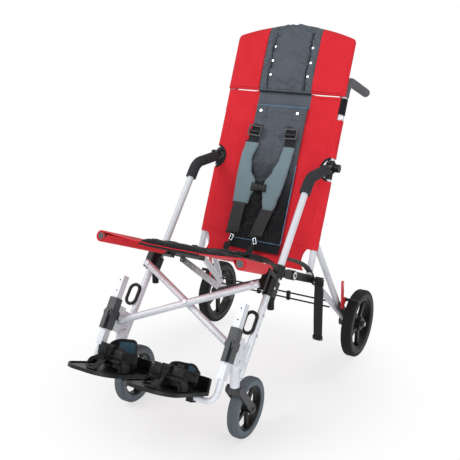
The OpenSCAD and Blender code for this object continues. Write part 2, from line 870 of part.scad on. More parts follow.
// Soft parts; puff falls from one in the middle to zero at either end
function puff(k, p) = 1 - pow(abs(k), p);
seat_cols = 16;
seat_front_rows = 10;
seat_rear_rows = 6;
function seat_half(y) = y < notch_from ? rail_x(y) : notch_half - (y - notch_from) * splay / 2;
function seat_top(y, k) =
  let (x = k * seat_half(y))
  [x, y, rail_r + gap + sheet_t - seat_dip * puff(k, 2) + seat_pad * puff(k, 6) * sin(90 * puff(k, 8))];
function seat_low(y, k) =
  let (x = k * seat_half(y)) [x, y, rail_r + gap + sleeve_t / 2 - seat_dip * puff(k, 4)];
seat_stations = concat(
  [for (i = [0 : seat_front_rows]) i * (notch_from - over) / seat_front_rows],
  [for (i = [0 : seat_rear_rows]) notch_from + i * (seat_end - notch_from) / seat_rear_rows]);

module seat_sling() {
  ks = [for (i = [0 : seat_cols]) 2 * i / seat_cols - 1];
  color("red") seat_frame() {
    sheet([for (y = seat_stations) [for (k = ks) seat_top(y, k)]],
      [for (y = seat_stations) [for (k = ks) seat_low(y, k)]]);
    for (s = [-1, 1]) difference() {
      rod([s * rail_x(0), 0, 0], [s * rail_x(notch_from - 2 * over), notch_from - 2 * over, 0],
        rail_r + gap + sleeve_t);
      rod([s * rail_x(-over), -over, 0], [s * rail_x(notch_from), notch_from, 0], rail_r + gap);
    }
  }
}

moon_v = (leg_point(arm_top, -arm_back)[1] - back_z) / cos(tilt) - moon_drop;
back_cols = 14;
back_rows = 20;
flap_rows = 3;
function back_half(v) = v < sling_low ? flap_half : sling_half;
back_stations = concat(
  [for (i = [0 : flap_rows]) flap_low + i * (sling_low - flap_low - over) / flap_rows],
  [for (i = [0 : back_rows]) sling_low + i * (sling_high - sling_low) / back_rows]);
back_face = -tube_r - gap;

module back_sling() {
  ks = [for (i = [0 : back_cols]) 2 * i / back_cols - 1];
  color("red") back_frame() difference() {
    union() {
      sheet([for (v = back_stations) [for (k = ks) [k * back_half(v), back_face - sling_t, v]]],
        [for (v = back_stations) [for (k = ks) [k * back_half(v), back_face, v]]]);
      for (s = [-1, 1]) difference() {
        translate([s * frame_half, 0, sling_low])
          cylinder(h = sling_high - sling_low, r = tube_r + gap + sleeve_t);
        translate([s * frame_half, 0, sling_low - over])
          cylinder(h = sling_high - sling_low + 2 * over, r = tube_r + gap);
        translate([s * frame_half, 0, moon_v - moon_r])
          cylinder(h = 2 * moon_r, r = tube_r + sleeve_t + over);
      }
    }
    for (s = [-1, 1]) translate([s * sling_half, 0, moon_v]) rotate([90, 0, 0])
      cylinder(h = moon_r, r = moon_r);
    for (s = [-1, 1]) translate([s * frame_half, 0, strut_v - moon_r])
      translate([-moon_r / 2, 0, 0]) cube([moon_r, moon_r, 2 * moon_r]);
  }
}

pad_cols = 10;
pad_rows = 24;
pad_waves = 1.5;
pad_front = back_face - sling_t - gap;

module back_pad() {
  ks = [for (i = [0 : pad_cols]) 2 * i / pad_cols - 1];
  vs = [for (i = [0 : pad_rows]) i / pad_rows];
  h = pad_high - pad_low;
  crown = function (k, t) pad_t + pad_crown * puff(k, 4) * abs(sin(t * 360 * pad_waves));
  color("slategray") back_frame()
    sheet([for (t = vs) [for (k = ks) [k * pad_half, pad_front - crown(k, t), pad_low + t * h]]],
      [for (t = vs) [for (k = ks) [k * pad_half, pad_front, pad_low + t * h]]]);
}

head_cols = 18;
head_rows = 10;
module head_panel() {
  ks = [for (i = [0 : head_cols]) 2 * i / head_cols - 1];
  ts = [for (i = [0 : head_rows]) i / head_rows];
  top = function (k) head_height + head_arch * puff(k, 2);
  crown = function (k, t) head_t + head_puff * puff(k, 4) * puff(2 * t - 1, 6);
  rear = -grip_r - gap;
  color("red") back_frame() {
    sheet([for (t = ts) [for (k = ks) [k * head_half, rear - crown(k, t), head_low + t * top(k)]]],
      [for (t = ts) [for (k = ks) [k * head_half, rear, head_low + t * top(k)]]]);
    for (s = [-1, 1]) translate([s * (frame_half - grip_r - stay_r), rear, stay_low])
      cylinder(h = stay_high - stay_low, r = stay_r);
  }
}

// Harness: two vest halves, the webbing above and below them, slides and a middle buckle
vest_back = pad_front - pad_t - pad_crown - gap;
module flat(t, points) rotate([90, 0, 0]) linear_extrude(t) polygon(points);

module harness() {
  color("slategray") back_frame() translate([0, vest_back, 0]) {
    for (s = [-1, 1]) {
      flat(vest_t, [[s * vest_in, vest_low], [s * vest_out, vest_low], [s * (vest_out - web_half), vest_top],
        [s * vest_in, vest_top]]);
      flat(web_t, [[s * (web_x - web_half), web_low], [s * (web_x + web_half), web_low],
        [s * (web_x + web_half), web_top], [s * (web_x - web_half), web_top]]);
      flat(slide_t, [[s * web_x - slide_w / 2, slide_v], [s * web_x + slide_w / 2, slide_v],
        [s * web_x + slide_w / 2, slide_v + slide_h], [s * web_x - slide_w / 2, slide_v + slide_h]]);
    }
    flat(web_t, [[-vest_in - over, buckle_v - web_half], [vest_in + over, buckle_v - web_half],
      [vest_in + over, buckle_v + web_half], [-vest_in - over, buckle_v + web_half]]);
    flat(buckle_t, [[-buckle_w / 2, buckle_v - buckle_h / 2], [buckle_w / 2, buckle_v - buckle_h / 2],
      [buckle_w / 2, buckle_v + buckle_h / 2], [-buckle_w / 2, buckle_v + buckle_h / 2]]);
  }
}

belt_along = 400;
belt_half = 128;
belt_w = 38;
belt_lift = 5.9;
belt_z = rail_r + gap + sheet_t + seat_pad - seat_dip + belt_lift;
module lap_belt() {
  color("black") seat_frame() {
    translate([-belt_half, belt_along, belt_z]) cube([2 * belt_half, belt_w, web_t]);
    translate([-buckle_w, belt_along + belt_w / 2 - buckle_h / 2, belt_z])
      cube([2 * buckle_w, buckle_h, buckle_t]);
  }
}

module tether_strap() {
  x = frame_half + elbow_w / 2;
  top = tether_high - tether_end;
  color("black") {
    translate([x, tether_y - tether_w - tether_lead, top])
      cube([tether_out, tether_w + tether_lead, 2 * tether_t]);
    translate([x + tether_lead / 2, tether_y - tether_w, tether_low])
      cube([tether_w, tether_t, top - tether_low + tether_t]);
    translate([x + tether_lead / 2 - tether_t, tether_y - tether_w - tether_t, tether_low])
      cube([tether_w + 2 * tether_t, 3 * tether_t, tether_end]);
  }
}

module brake_cable() {
  color("black") {
    for (z = [cable_low, cable_high]) translate([0, cable_y, z]) cross_pin(2 * cable_half, cable_r);
    for (s = [-1, 1]) translate([s * cable_clip_x, cable_y, (cable_low + cable_high) / 2])
      cube([cable_clip, cable_clip, cable_high - cable_low + cable_clip], center = true);
  }
}

whole() leg_tube(-1);  // right_leg_tube
whole() arm_tube(-1);  // right_arm_tube
whole() arm_pad(-1);  // right_arm_pad
whole() back_tube(-1);  // right_back_tube
whole() push_grip(-1);  // right_push_grip
whole() seat_tube(-1);  // right_seat_tube
whole() knuckle(-1);  // right_knuckle
whole() leg_clamp(-1);  // right_leg_clamp
whole() elbow(-1);  // right_elbow
whole() rear_legs(-1);  // right_rear_legs
whole() axle_hanger(-1);  // right_axle_hanger
whole() rear_tyre(-1);  // right_rear_tyre
whole() rear_hub(-1);  // right_rear_hub
whole() brake_lever(-1);  // right_brake_lever
whole() caster_fork(-1);  // right_caster_fork
whole() caster_tyre(-1);  // right_caster_tyre
whole() caster_hub(-1);  // right_caster_hub
whole() tie_ring(-1);  // right_tie_ring
whole() rest_sleeve(-1);  // right_rest_sleeve
whole() rest_tube(-1);  // right_rest_tube
whole() footplate(-1);  // right_footplate
whole() foot_strap(-1);  // right_foot_strap
whole() arm_clamp(-1);  // right_arm_clamp
whole() arm_knob(-1);  // right_arm_knob
whole() leg_tube(1);  // left_leg_tube
whole() arm_tube(1);  // left_arm_tube
whole() arm_pad(1);  // left_arm_pad
whole() back_tube(1);  // left_back_tube
whole() push_grip(1);  // left_push_grip
whole() seat_tube(1);  // left_seat_tube
whole() knuckle(1);  // left_knuckle
whole() leg_clamp(1);  // left_leg_clamp
whole() elbow(1);  // left_elbow
whole() rear_legs(1);  // left_rear_legs
whole() axle_hanger(1);  // left_axle_hanger
whole() rear_tyre(1);  // left_rear_tyre
whole() rear_hub(1);  // left_rear_hub
whole() brake_lever(1);  // left_brake_lever
whole() caster_fork(1);  // left_caster_fork
whole() caster_tyre(1);  // left_caster_tyre
whole() caster_hub(1);  // left_caster_hub
whole() tie_ring(1);  // left_tie_ring
whole() rest_sleeve(1);  // left_rest_sleeve
whole() rest_tube(1);  // left_rest_tube
whole() footplate(1);  // left_footplate
whole() foot_strap(1);  // left_foot_strap
whole() arm_clamp(1);  // left_arm_clamp
whole() arm_knob(1);  // left_arm_knob
whole() brace_a();
whole() brace_b();
whole() lock_link(-1);  // right_lock_link
whole() lock_link(1);  // left_lock_link
whole() seat_sling();
whole() back_sling();
whole() back_pad();
whole() head_panel();
whole() harness();
whole() lap_belt();
whole() tether_strap();
whole() brake_cable();
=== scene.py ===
"""Looks of a folding special needs buggy: cloth, webbing, padding and finishes on its CAD frame."""
import json
import math

import bmesh
import bpy
from bpy.props import FloatProperty, FloatVectorProperty, PointerProperty, StringProperty
from mathutils import Matrix, Vector, noise
from mathutils.bvhtree import BVHTree


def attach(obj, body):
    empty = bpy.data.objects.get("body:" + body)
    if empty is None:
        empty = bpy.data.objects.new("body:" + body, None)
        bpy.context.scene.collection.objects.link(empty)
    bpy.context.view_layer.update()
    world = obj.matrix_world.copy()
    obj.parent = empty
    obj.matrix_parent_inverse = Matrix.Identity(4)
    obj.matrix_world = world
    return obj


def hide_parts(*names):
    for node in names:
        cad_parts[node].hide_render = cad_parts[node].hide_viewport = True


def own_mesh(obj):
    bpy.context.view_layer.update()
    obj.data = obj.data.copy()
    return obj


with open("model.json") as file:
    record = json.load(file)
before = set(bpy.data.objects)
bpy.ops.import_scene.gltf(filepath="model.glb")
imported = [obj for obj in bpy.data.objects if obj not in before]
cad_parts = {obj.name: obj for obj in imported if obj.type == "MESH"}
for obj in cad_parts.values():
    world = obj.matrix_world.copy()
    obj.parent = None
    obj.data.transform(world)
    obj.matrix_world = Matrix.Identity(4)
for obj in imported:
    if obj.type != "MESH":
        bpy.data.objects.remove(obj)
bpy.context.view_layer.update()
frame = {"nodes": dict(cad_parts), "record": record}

bl_info = {
    "name": "Special needs buggy looks",
    "version": (1, 0, 0),
    "blender": (4, 5, 0),
    "location": "3D View > Sidebar > Buggy",
    "description": "Dresses the buggy's frame with its slings, pads, harness, straps and finishes",
    "category": "Object",
}

MM = 0.001
SIDES = {"right": -1, "left": 1}


class Plane:
    """A tilted frame of the buggy in millimetres: x across it, y behind it, z up it."""

    def __init__(self, y, z, tilt):
        self.y, self.z, self.tilt = y, z, math.radians(tilt)
        self.cos, self.sin = math.cos(self.tilt), math.sin(self.tilt)

    def at(self, x, y, z):
        return Vector((x, self.y + y * self.cos + z * self.sin, self.z - y * self.sin + z * self.cos)) * MM

    def way(self, x, y, z):
        return Vector((x, y * self.cos + z * self.sin, -y * self.sin + z * self.cos)).normalized()


# The same frames as the part's source, with its shift along Y
SHIFT = 129.63
LEAN = 23.4
REST_RUN, REST_LEAN = 218, math.radians(36)
BACK = Plane(48 + SHIFT, 412, LEAN)
SEAT = Plane(-463 + SHIFT, 590, LEAN)
LEG = Plane(-314 + SHIFT, 369, 40)
PLATE = Plane(-448 - REST_RUN * math.sin(REST_LEAN) + SHIFT, 387 - REST_RUN * math.cos(REST_LEAN), 25)
TUBE_X = 217
# The seat tubes and how far apart they splay, from half their spacing in front and at the rear
RAIL_R = 12.5
RAIL_FRONT, RAIL_REAR, RAIL_RUN = 240, 190, 297
SPLAY = (RAIL_FRONT - RAIL_REAR) / RAIL_RUN
# Place (y, z) of the axles
REAR_AXLE = (300 + SHIFT, 125)
CASTER_AXLE = (-380 + SHIFT, 95)
# Cloth that is blown up to fill a pad: its pressure and how many steps it gets
PRESSURE = 4.0
FILL_STEPS = 20
# Thread spacing of the nylon is near 0.5 mm; drawn at 3 mm so that it shows
THREAD = 3.0
# Foam's real pores are under 1 mm; drawn at 3 mm so that they show
PORE = 3.0


def rail_x(y):
    """Half the seat tubes' spacing at y of the seat."""
    return RAIL_FRONT - SPLAY * y


def puff(k, power):
    """One in the middle, falling to zero where k is 1 or -1."""
    return 1 - abs(k) ** power


def span(low, high, count):
    """Evenly spaced values from low to high, in count steps."""
    return [low + (high - low) * i / count for i in range(count + 1)]


def arc(centre, radius, start, end, count):
    """Points of a round arc between two angles in degrees."""
    turns = [math.radians(a) for a in span(start, end, count)]
    return [(centre[0] + radius * math.cos(a), centre[1] + radius * math.sin(a)) for a in turns]


def eased(points, v):
    """Values between listed (height, value, value) points, eased from each to the next."""
    for low, high in zip(points, points[1:]):
        if v <= high[0]:
            break
    t = max(0.0, min(1.0, (v - low[0]) / (high[0] - low[0])))
    t = t * t * (3 - 2 * t)
    return [a + (b - a) * t for a, b in zip(low[1:], high[1:])]


def ripple(p, size, depth):
    """A small smooth offset in millimetres that changes over about size millimetres."""
    return depth * noise.noise(Vector(p) * (1 / size))


# Finishes


def linear(code):
    """sRGB hex to linear RGBA."""
    parts = [int(code[i : i + 2], 16) / 255 for i in (0, 2, 4)]
    return tuple(c / 12.92 if c <= 0.04045 else ((c + 0.055) / 1.055) ** 2.4 for c in parts) + (1.0,)


def add(tree, kind, links=None, **settings):
    """Adds a node, sets it, and links or fills its inputs."""
    made = tree.nodes.new(kind)
    for key, value in settings.items():
        setattr(made, key, value)
    for key, value in (links or {}).items():
        if isinstance(value, bpy.types.NodeSocket):
            tree.links.new(value, made.inputs[key])
        else:
            made.inputs[key].default_value = value
    return made


def finish_of(name, rough, **sockets):
    """A new material with its shader, and the shader's Object coordinates."""
    material = bpy.data.materials.new(name)
    material.use_nodes = True
    tree = material.node_tree
    shader = tree.nodes["Principled BSDF"]
    shader.inputs["Roughness"].default_value = rough
    for key, value in sockets.items():
        shader.inputs[key.replace("_", " ")].default_value = value
    place = add(tree, "ShaderNodeTexCoord").outputs["Object"]
    return material, tree, shader, place


def mottle(tree, shader, place, low, high, size):
    """Colour that drifts between two shades over about size millimetres."""
    cloud = add(tree, "ShaderNodeTexNoise", {"Vector": place, "Scale": 1000 / size, "Detail": 3.0})
    shade = add(tree, "ShaderNodeMix", {0: cloud.outputs["Fac"]}, data_type="RGBA")
    shade.inputs[6].default_value, shade.inputs[7].default_value = low, high
    tree.links.new(shade.outputs[2], shader.inputs["Base Color"])
    return shade.outputs[2]


def bump(tree, shader, height, depth, strength=0.5):
    """Relief of that depth in millimetres."""
    made = add(tree, "ShaderNodeBump", {"Height": height, "Distance": depth * MM, "Strength": strength})
    tree.links.new(made.outputs["Normal"], shader.inputs["Normal"])


def bands(tree, place, direction, pitch):
    """Ridges a pitch in millimetres apart."""
    return add(
        tree,
        "ShaderNodeTexWave",
        {"Vector": place, "Scale": math.pi / 10 / (pitch * MM)},
        bands_direction=direction,
    ).outputs["Fac"]


def woven(name, low, high, pitch, rough=0.8, sheen=0.25, depth=0.35):
    """Plain-woven synthetic cloth: a fine grid of crossing threads with a soft sheen."""
    material, tree, shader, place = finish_of(
        name, rough, Sheen_Weight=sheen, Sheen_Roughness=0.5, Specular_IOR_Level=0.12
    )
    mottle(tree, shader, place, linear(low), linear(high), 55)
    tilt = (math.radians(LEAN), 0, 0)
    turned = add(tree, "ShaderNodeMapping", {"Vector": place, "Rotation": tilt}).outputs[0]
    warp, weft = bands(tree, turned, "X", pitch), bands(tree, turned, "Z", pitch)
    grid = add(tree, "ShaderNodeMath", {0: warp, 1: weft}, operation="MULTIPLY")
    bump(tree, shader, grid.outputs[0], depth)
    return material


def cloth_with_painted_shade(name, low, dark, pitch, place_of, start, end):
    """Woven cloth with painted shade: its colour deepens down a plane to the dark colour, between two heights
    in millimetres.
    """
    material = woven(name, low[0], low[1], pitch)
    tree = material.node_tree
    shader = tree.nodes["Principled BSDF"]
    up = place_of.way(0, 0, 1)
    foot = place_of.at(0, 0, 0).dot(up)
    where = add(tree, "ShaderNodeTexCoord").outputs["Object"]
    height = add(tree, "ShaderNodeVectorMath", {0: where, 1: tuple(up)}, operation="DOT_PRODUCT")
    fade = add(
        tree,
        "ShaderNodeMapRange",
        {"Value": height.outputs["Value"], "From Min": foot + end * MM, "From Max": foot + start * MM},
        interpolation_type="SMOOTHSTEP",
    )
    old = shader.inputs["Base Color"].links[0].from_socket
    shade = add(tree, "ShaderNodeMix", {0: fade.outputs[0], 7: old}, data_type="RGBA")
    shade.inputs[6].default_value = linear(dark)
    tree.links.new(shade.outputs[2], shader.inputs["Base Color"])
    return material


def moulded(name, low, high, grain, rough):
    """Moulded plastic or rubber: even colour with a fine spark-eroded grain."""
    material, tree, shader, place = finish_of(name, rough, Specular_IOR_Level=0.22)
    mottle(tree, shader, place, linear(low), linear(high), 30)
    grit = add(tree, "ShaderNodeTexNoise", {"Vector": place, "Scale": 1000 / grain, "Detail": 2.0})
    bump(tree, shader, grit.outputs["Fac"], 0.12, 0.4)
    return material


def coated(name, low, high, rough, metallic=0.0, coat=0.25):
    """Baked enamel or bare metal: smooth, with faint waviness and handling marks in its gloss."""
    material, tree, shader, place = finish_of(name, rough, Metallic=metallic, Coat_Weight=coat)
    shader.inputs["Coat Roughness"].default_value = 0.15
    mottle(tree, shader, place, linear(low), linear(high), 90)
    rub = add(tree, "ShaderNodeTexNoise", {"Vector": place, "Scale": 60.0, "Detail": 4.0})
    gloss = add(
        tree,
        "ShaderNodeMapRange",
        {"Value": rub.outputs["Fac"], "To Min": rough - 0.06, "To Max": rough + 0.1},
    )
    tree.links.new(gloss.outputs[0], shader.inputs["Roughness"])
    wave = add(tree, "ShaderNodeTexNoise", {"Vector": place, "Scale": 220.0})
    bump(tree, shader, wave.outputs["Fac"], 0.04, 0.25)
    return material


def foam(name, low, high):
    """Closed-cell foam sleeve: matt, with small open pores."""
    material, tree, shader, place = finish_of(name, 0.92, Specular_IOR_Level=0.15)
    mottle(tree, shader, place, linear(low), linear(high), 18)
    pores = add(tree, "ShaderNodeTexVoronoi", {"Vector": place, "Scale": 1000 / PORE})
    bump(tree, shader, pores.outputs["Distance"], 0.5, 0.6)
    return material


def wheel_rubber(name, tread, wall, centre, edge):
    """Tyre rubber: dark tread and a paler scuffed side wall inside the edge radius, in millimetres."""
    material, tree, shader, place = finish_of(name, 0.82, Specular_IOR_Level=0.2)
    back_by = (0, -centre[0] * MM, -centre[1] * MM)
    turned = add(tree, "ShaderNodeMapping", {"Vector": place, "Location": back_by}).outputs[0]
    flat = add(tree, "ShaderNodeVectorMath", {0: turned, 1: (0, 1, 1)}, operation="MULTIPLY")
    reach = add(tree, "ShaderNodeVectorMath", {0: flat.outputs[0]}, operation="LENGTH")
    fade = add(
        tree,
        "ShaderNodeMapRange",
        {"Value": reach.outputs["Value"], "From Min": (edge - 4) * MM, "From Max": (edge + 3) * MM},
    )
    shade = add(tree, "ShaderNodeMix", {0: fade.outputs[0]}, data_type="RGBA")
    shade.inputs[6].default_value, shade.inputs[7].default_value = linear(wall), linear(tread)
    dust = add(tree, "ShaderNodeTexNoise", {"Vector": place, "Scale": 40.0, "Detail": 4.0})
    worn = add(tree, "ShaderNodeMix", {0: dust.outputs["Fac"]}, data_type="RGBA", blend_type="MULTIPLY")
    tree.links.new(shade.outputs[2], worn.inputs[6])
    worn.inputs[7].default_value = linear("D8D8D8")
    tree.links.new(worn.outputs[2], shader.inputs["Base Color"])
    grit = add(tree, "ShaderNodeTexNoise", {"Vector": place, "Scale": 500.0})
    bump(tree, shader, grit.outputs["Fac"], 0.15, 0.4)
    return material


FINISHES = {}


def make_finishes():
    """All the finishes, by the record's slot or by the trim that wears them."""
    tubes, red, charcoal, vest = [
        shades.split()
        for shades in (colours().tubes, colours().red_cloth, colours().charcoal_cloth, colours().vest)
    ]
    FINISHES.update(
        white_enamel=coated("silver_white_enamel", *tubes, 0.36, 0.08),
        bare_aluminium=coated("brushed_aluminium", "AEB2B6", "C6CACE", 0.34, 0.85, 0.0),
        dark_steel=coated("dark_grey_enamel", "1D2024", "2A2D31", 0.44, 0.0, 0.08),
        red_enamel=coated("red_enamel", "B81B22", "CB252C", 0.28, 0.0, 0.5),
        bright_steel=coated("zinc_plated_steel", "B9BDC2", "D6DADD", 0.22, 1.0, 0.0),
        grip_foam=foam("dark_foam", "2D2F32", "393B3F"),
        push_foam=foam("grey_foam", "55575A", "6A6C6E"),
        black_plastic=moulded("black_nylon_moulding", "0F1011", "161719", 1.6, 0.42),
        # Grey moulding: the end caps' own colour, and on the harness slides' frames a painted highlight on
        # black plastic.
        grey_plastic=moulded("grey_end_cap_and_slide_highlight", "4A4C4F", "5C5E61", 1.6, 0.5),
        black_rubber=wheel_rubber("black_tyre_rubber", "1C1C1C", "4C4D4E", REAR_AXLE, 112),
        grey_rubber=wheel_rubber("blue_grey_tyre_rubber", "5A6269", "6C757D", CASTER_AXLE, 86),
        red_nylon=woven("red_woven_nylon", *red, THREAD, sheen=0.1),
        grey_nylon=woven("charcoal_woven_nylon", *charcoal, THREAD, sheen=0.12),
        # The back pad's charcoal deepens to near black low on the back: painted shade of the vest and the
        # pad's curve.
        pad_nylon=cloth_with_painted_shade("charcoal_pad_nylon", ("4A5057", "575E66"), "141518", THREAD, BACK, 400, 190),
        dark_nylon=woven("black_woven_nylon", "131417", "1D1F22", THREAD, sheen=0.1),
        slate_neoprene=woven("slate_neoprene", *vest, 2.4, sheen=0.2, depth=0.2),
        black_webbing=woven("black_webbing", "1E1F21", "2C2D2F", 2.6, sheen=0.1, depth=0.5),
        grey_webbing=woven("dark_grey_webbing", "313234", "3F4042", 2.6, sheen=0.1, depth=0.5),
        blue_binding=woven("blue_binding_tape", "4C7696", "6592B2", 2.0),
        blue_lining=woven("blue_fleece_lining", "2A4250", "3E5B6B", 4.0, rough=0.95, sheen=0.1),
    )


def wear(name, finish):
    """Gives a CAD node its finish."""
    mesh = frame["nodes"][name].data
    mesh.materials.clear()
    mesh.materials.append(FINISHES[finish])


# Mesh makers


def piece(name, points, faces, finishes, picks=None, sharp=50):
    """A closed mesh object at the origin with its normals outwards."""
    mesh = bpy.data.meshes.new(name)
    mesh.from_pydata([tuple(p) for p in points], [], faces)
    for finish in finishes:
        mesh.materials.append(FINISHES[finish])
    if picks:
        mesh.polygons.foreach_set("material_index", picks)
    shape = bmesh.new()
    shape.from_mesh(mesh)
    bmesh.ops.remove_doubles(shape, verts=shape.verts, dist=1e-6)
    bmesh.ops.recalc_face_normals(shape, faces=shape.faces)
    shape.to_mesh(mesh)
    shape.free()
    mesh.polygons.foreach_set("use_smooth", [True] * len(mesh.polygons))
    mesh.set_sharp_from_angle(angle=math.radians(sharp))
    made = bpy.data.objects.new(name, mesh)
    bpy.context.scene.collection.objects.link(made)
    return made


def shell(name, front, back, finishes, pick=None, sharp=50):
    """A closed piece between two grids of points; pick gives a cell's finish by row and column."""
    rows, cols = len(front), len(front[0])
    points = [p for row in front for p in row] + [p for row in back for p in row]
    half = rows * cols
    faces, picks = [], []

    def cell(a, b, c, d, chosen):
        faces.append((a, b, c, d))
        picks.append(chosen)

    for r in range(rows - 1):
        for c in range(cols - 1):
            a, b = r * cols + c, (r + 1) * cols + c
            chosen = pick(r, c) if pick else 0
            cell(a, b, b + 1, a + 1, chosen)
            cell(half + a, half + a + 1, half + b + 1, half + b, chosen)
    for r in range(rows - 1):
        for c in (0, cols - 1):
            a, b = r * cols + c, (r + 1) * cols + c
            cell(a, b, half + b, half + a, pick(r, min(c, cols - 2)) if pick else 0)
    for c in range(cols - 1):
        for r in (0, rows - 1):
            a = r * cols + c
            cell(a, a + 1, half + a + 1, half + a, pick(min(r, rows - 2), c) if pick else 0)
    return piece(name, points, faces, finishes, picks, sharp)


def offset_grid(grid, depth):
    """The grid moved along its own normals by depth in millimetres."""
    rows, cols = len(grid), len(grid[0])
    moved = []
    for r in range(rows):
        line = []
        for c in range(cols):
            along = grid[min(r + 1, rows - 1)][c] - grid[max(r - 1, 0)][c]
            across = grid[r][min(c + 1, cols - 1)] - grid[r][max(c - 1, 0)]
            line.append(grid[r][c] + along.cross(across).normalized() * depth * MM)
        moved.append(line)
    return moved


def sheet_piece(name, grid, depth, finishes, pick=None):
    """A sheet of cloth of that thickness in millimetres, from one grid of points."""
    return shell(name, grid, offset_grid(grid, depth), finishes, pick)


def strap(name, path, across, width, depth, finish):
    """Flat webbing along a path; across gives the direction of its width at each point."""
    shares = (-0.5, -0.44, -0.2, 0.2, 0.44, 0.5)
    grid = [[p + a.normalized() * width * MM * c for c in shares] for p, a in zip(path, across)]
    return sheet_piece(name, grid, depth, [finish])


def cordon(name, path, radius, finish, sides=8):
    """A round cord or binding along a path, closed at both ends."""
    rings = []
    for i, p in enumerate(path):
        ahead = (path[min(i + 1, len(path) - 1)] - path[max(i - 1, 0)]).normalized()
        side = ahead.orthogonal().normalized() if i == 0 else (side - ahead * side.dot(ahead)).normalized()
        other = ahead.cross(side)
        rings.append(
            [
                p + (side * math.cos(t) + other * math.sin(t)) * radius * MM
                for t in [2 * math.pi * k / sides for k in range(sides)]
            ]
        )
    points = [p for ring in rings for p in ring]
    faces = []
    for r in range(len(rings) - 1):
        for k in range(sides):
            n = (k + 1) % sides
            faces.append((r * sides + k, r * sides + n, (r + 1) * sides + n, (r + 1) * sides + k))
    faces.append(tuple(range(sides)))
    faces.append(tuple((len(rings) - 1) * sides + k for k in range(sides)))
    return piece(name, points, faces, [finish])


def rounded_block(name, place, centre, size, round_by, finish, turn=0.0):
    """A moulded block with rounded edges, centred in a plane's frame; turn is about the plane's normal."""
    shape = bmesh.new()
    bmesh.ops.create_cube(shape, size=1)
    for v in shape.verts:
        v.co = Vector((v.co.x * size[0], v.co.y * size[1], v.co.z * size[2]))
    bmesh.ops.bevel(
        shape, geom=shape.edges, offset=round_by, segments=3, profile=0.5, affect="EDGES", clamp_overlap=True
    )
    spin = Matrix.Rotation(math.radians(turn), 3, "Y")
    points = [place.at(*(Vector(centre) + spin @ v.co)) for v in shape.verts]
    shape.verts.index_update()
    faces = [tuple(v.index for v in f.verts) for f in shape.faces]
    shape.free()
    return piece(name, points, faces, [finish], sharp=35)


def ring_block(name, place, centre, size, bar, depth, finish, turn=0.0):
    """A flat rectangular ring, such as a slide or a buckle frame."""
    w, h = size[0] / 2, size[1] / 2
    points, faces = [], []
    spin = Matrix.Rotation(math.radians(turn), 3, "Y")
    for y in (-depth / 2, depth / 2):
        for inset in (0, bar):
            for x, z in ((-1, -1), (1, -1), (1, 1), (-1, 1)):
                local = Vector((x * (w - inset), y, z * (h - inset)))
                points.append(place.at(*(Vector(centre) + spin @ local)))
    for k in range(4):
        n = (k + 1) % 4
        faces += [(k, n, 4 + n, 4 + k), (8 + k, 8 + n, 12 + n, 12 + k)]
        faces += [(k, n, 8 + n, 8 + k), (4 + k, 4 + n, 12 + n, 12 + k)]
    made = piece(name, points, faces, [finish], sharp=30)
    edge = made.modifiers.new("edge", "BEVEL")
    edge.width, edge.segments = min(bar, depth) * 0.22 * MM, 2
    return made


def join(name, parts):
    """Several pieces made into one plain mesh, with their modifiers applied."""
    shape = bmesh.new()
    slots = []
    depsgraph = bpy.context.evaluated_depsgraph_get()
    for part in parts:
        mesh = bpy.data.meshes.new_from_object(part.evaluated_get(depsgraph))
        before = len(shape.faces)
        shape.from_mesh(mesh)
        shape.faces.ensure_lookup_table()
        for f in shape.faces[before:]:
            kept = mesh.materials[f.material_index]
            if kept not in slots:
                slots.append(kept)
            f.material_index = slots.index(kept)
        bpy.data.objects.remove(part)
    mesh = bpy.data.meshes.new(name)
    shape.to_mesh(mesh)
    shape.free()
    for kept in slots:
        mesh.materials.append(kept)
    made = bpy.data.objects.new(name, mesh)
    bpy.context.scene.collection.objects.link(made)
    return made


def inflate(made, hold, cap, slack):
    """Fills a padded piece: cloth held at its seams and blown up, by at most cap millimetres."""
    scene = bpy.context.scene
    start = [v.co.copy() for v in made.data.vertices]
    seams = made.vertex_groups.new(name="seams")
    seams.add([i for i, grip in enumerate(hold) if grip], 1.0, "REPLACE")
    filler = made.modifiers.new("fill", "CLOTH")
    stuff = filler.settings
    stuff.quality, stuff.mass = 5, 0.1
    stuff.vertex_group_mass = "seams"
    stuff.use_pressure, stuff.uniform_pressure_force = True, PRESSURE
    stuff.effector_weights.gravity = 0
    stuff.shrink_min = -slack
    filler.collision_settings.use_collision = False
    filler.point_cache.frame_start, filler.point_cache.frame_end = 1, FILL_STEPS
    for step in range(1, FILL_STEPS + 1):
        scene.frame_set(step)
    mesh = bpy.data.meshes.new_from_object(made.evaluated_get(bpy.context.evaluated_depsgraph_get()))
    made.modifiers.remove(filler)
    made.vertex_groups.clear()
    made.data = mesh
    for v, old in zip(mesh.vertices, start):
        move = v.co - old
        if move.length > cap * MM:
            v.co = old + move.normalized() * cap * MM
    scene.frame_set(1)


def finder(made, place, reach):
    """A function that finds the piece's front at x and v of a plane, lifted off it by lift millimetres."""
    points = [v.co for v in made.data.vertices]
    tree = BVHTree.FromPolygons(points, [p.vertices[:] for p in made.data.polygons])
    way = place.way(0, 1, 0)

    def find(x, v, lift):
        hit = tree.ray_cast(place.at(x, -reach, v), way)[0]
        return (hit or place.at(x, -reach / 2, v)) - way * lift * MM

    return find


def fold_with(made, body):
    """The piece rides on a body, with a mesh of its own."""
    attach(made, body)
    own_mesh(made)


# Geometry Nodes: heads and stitches


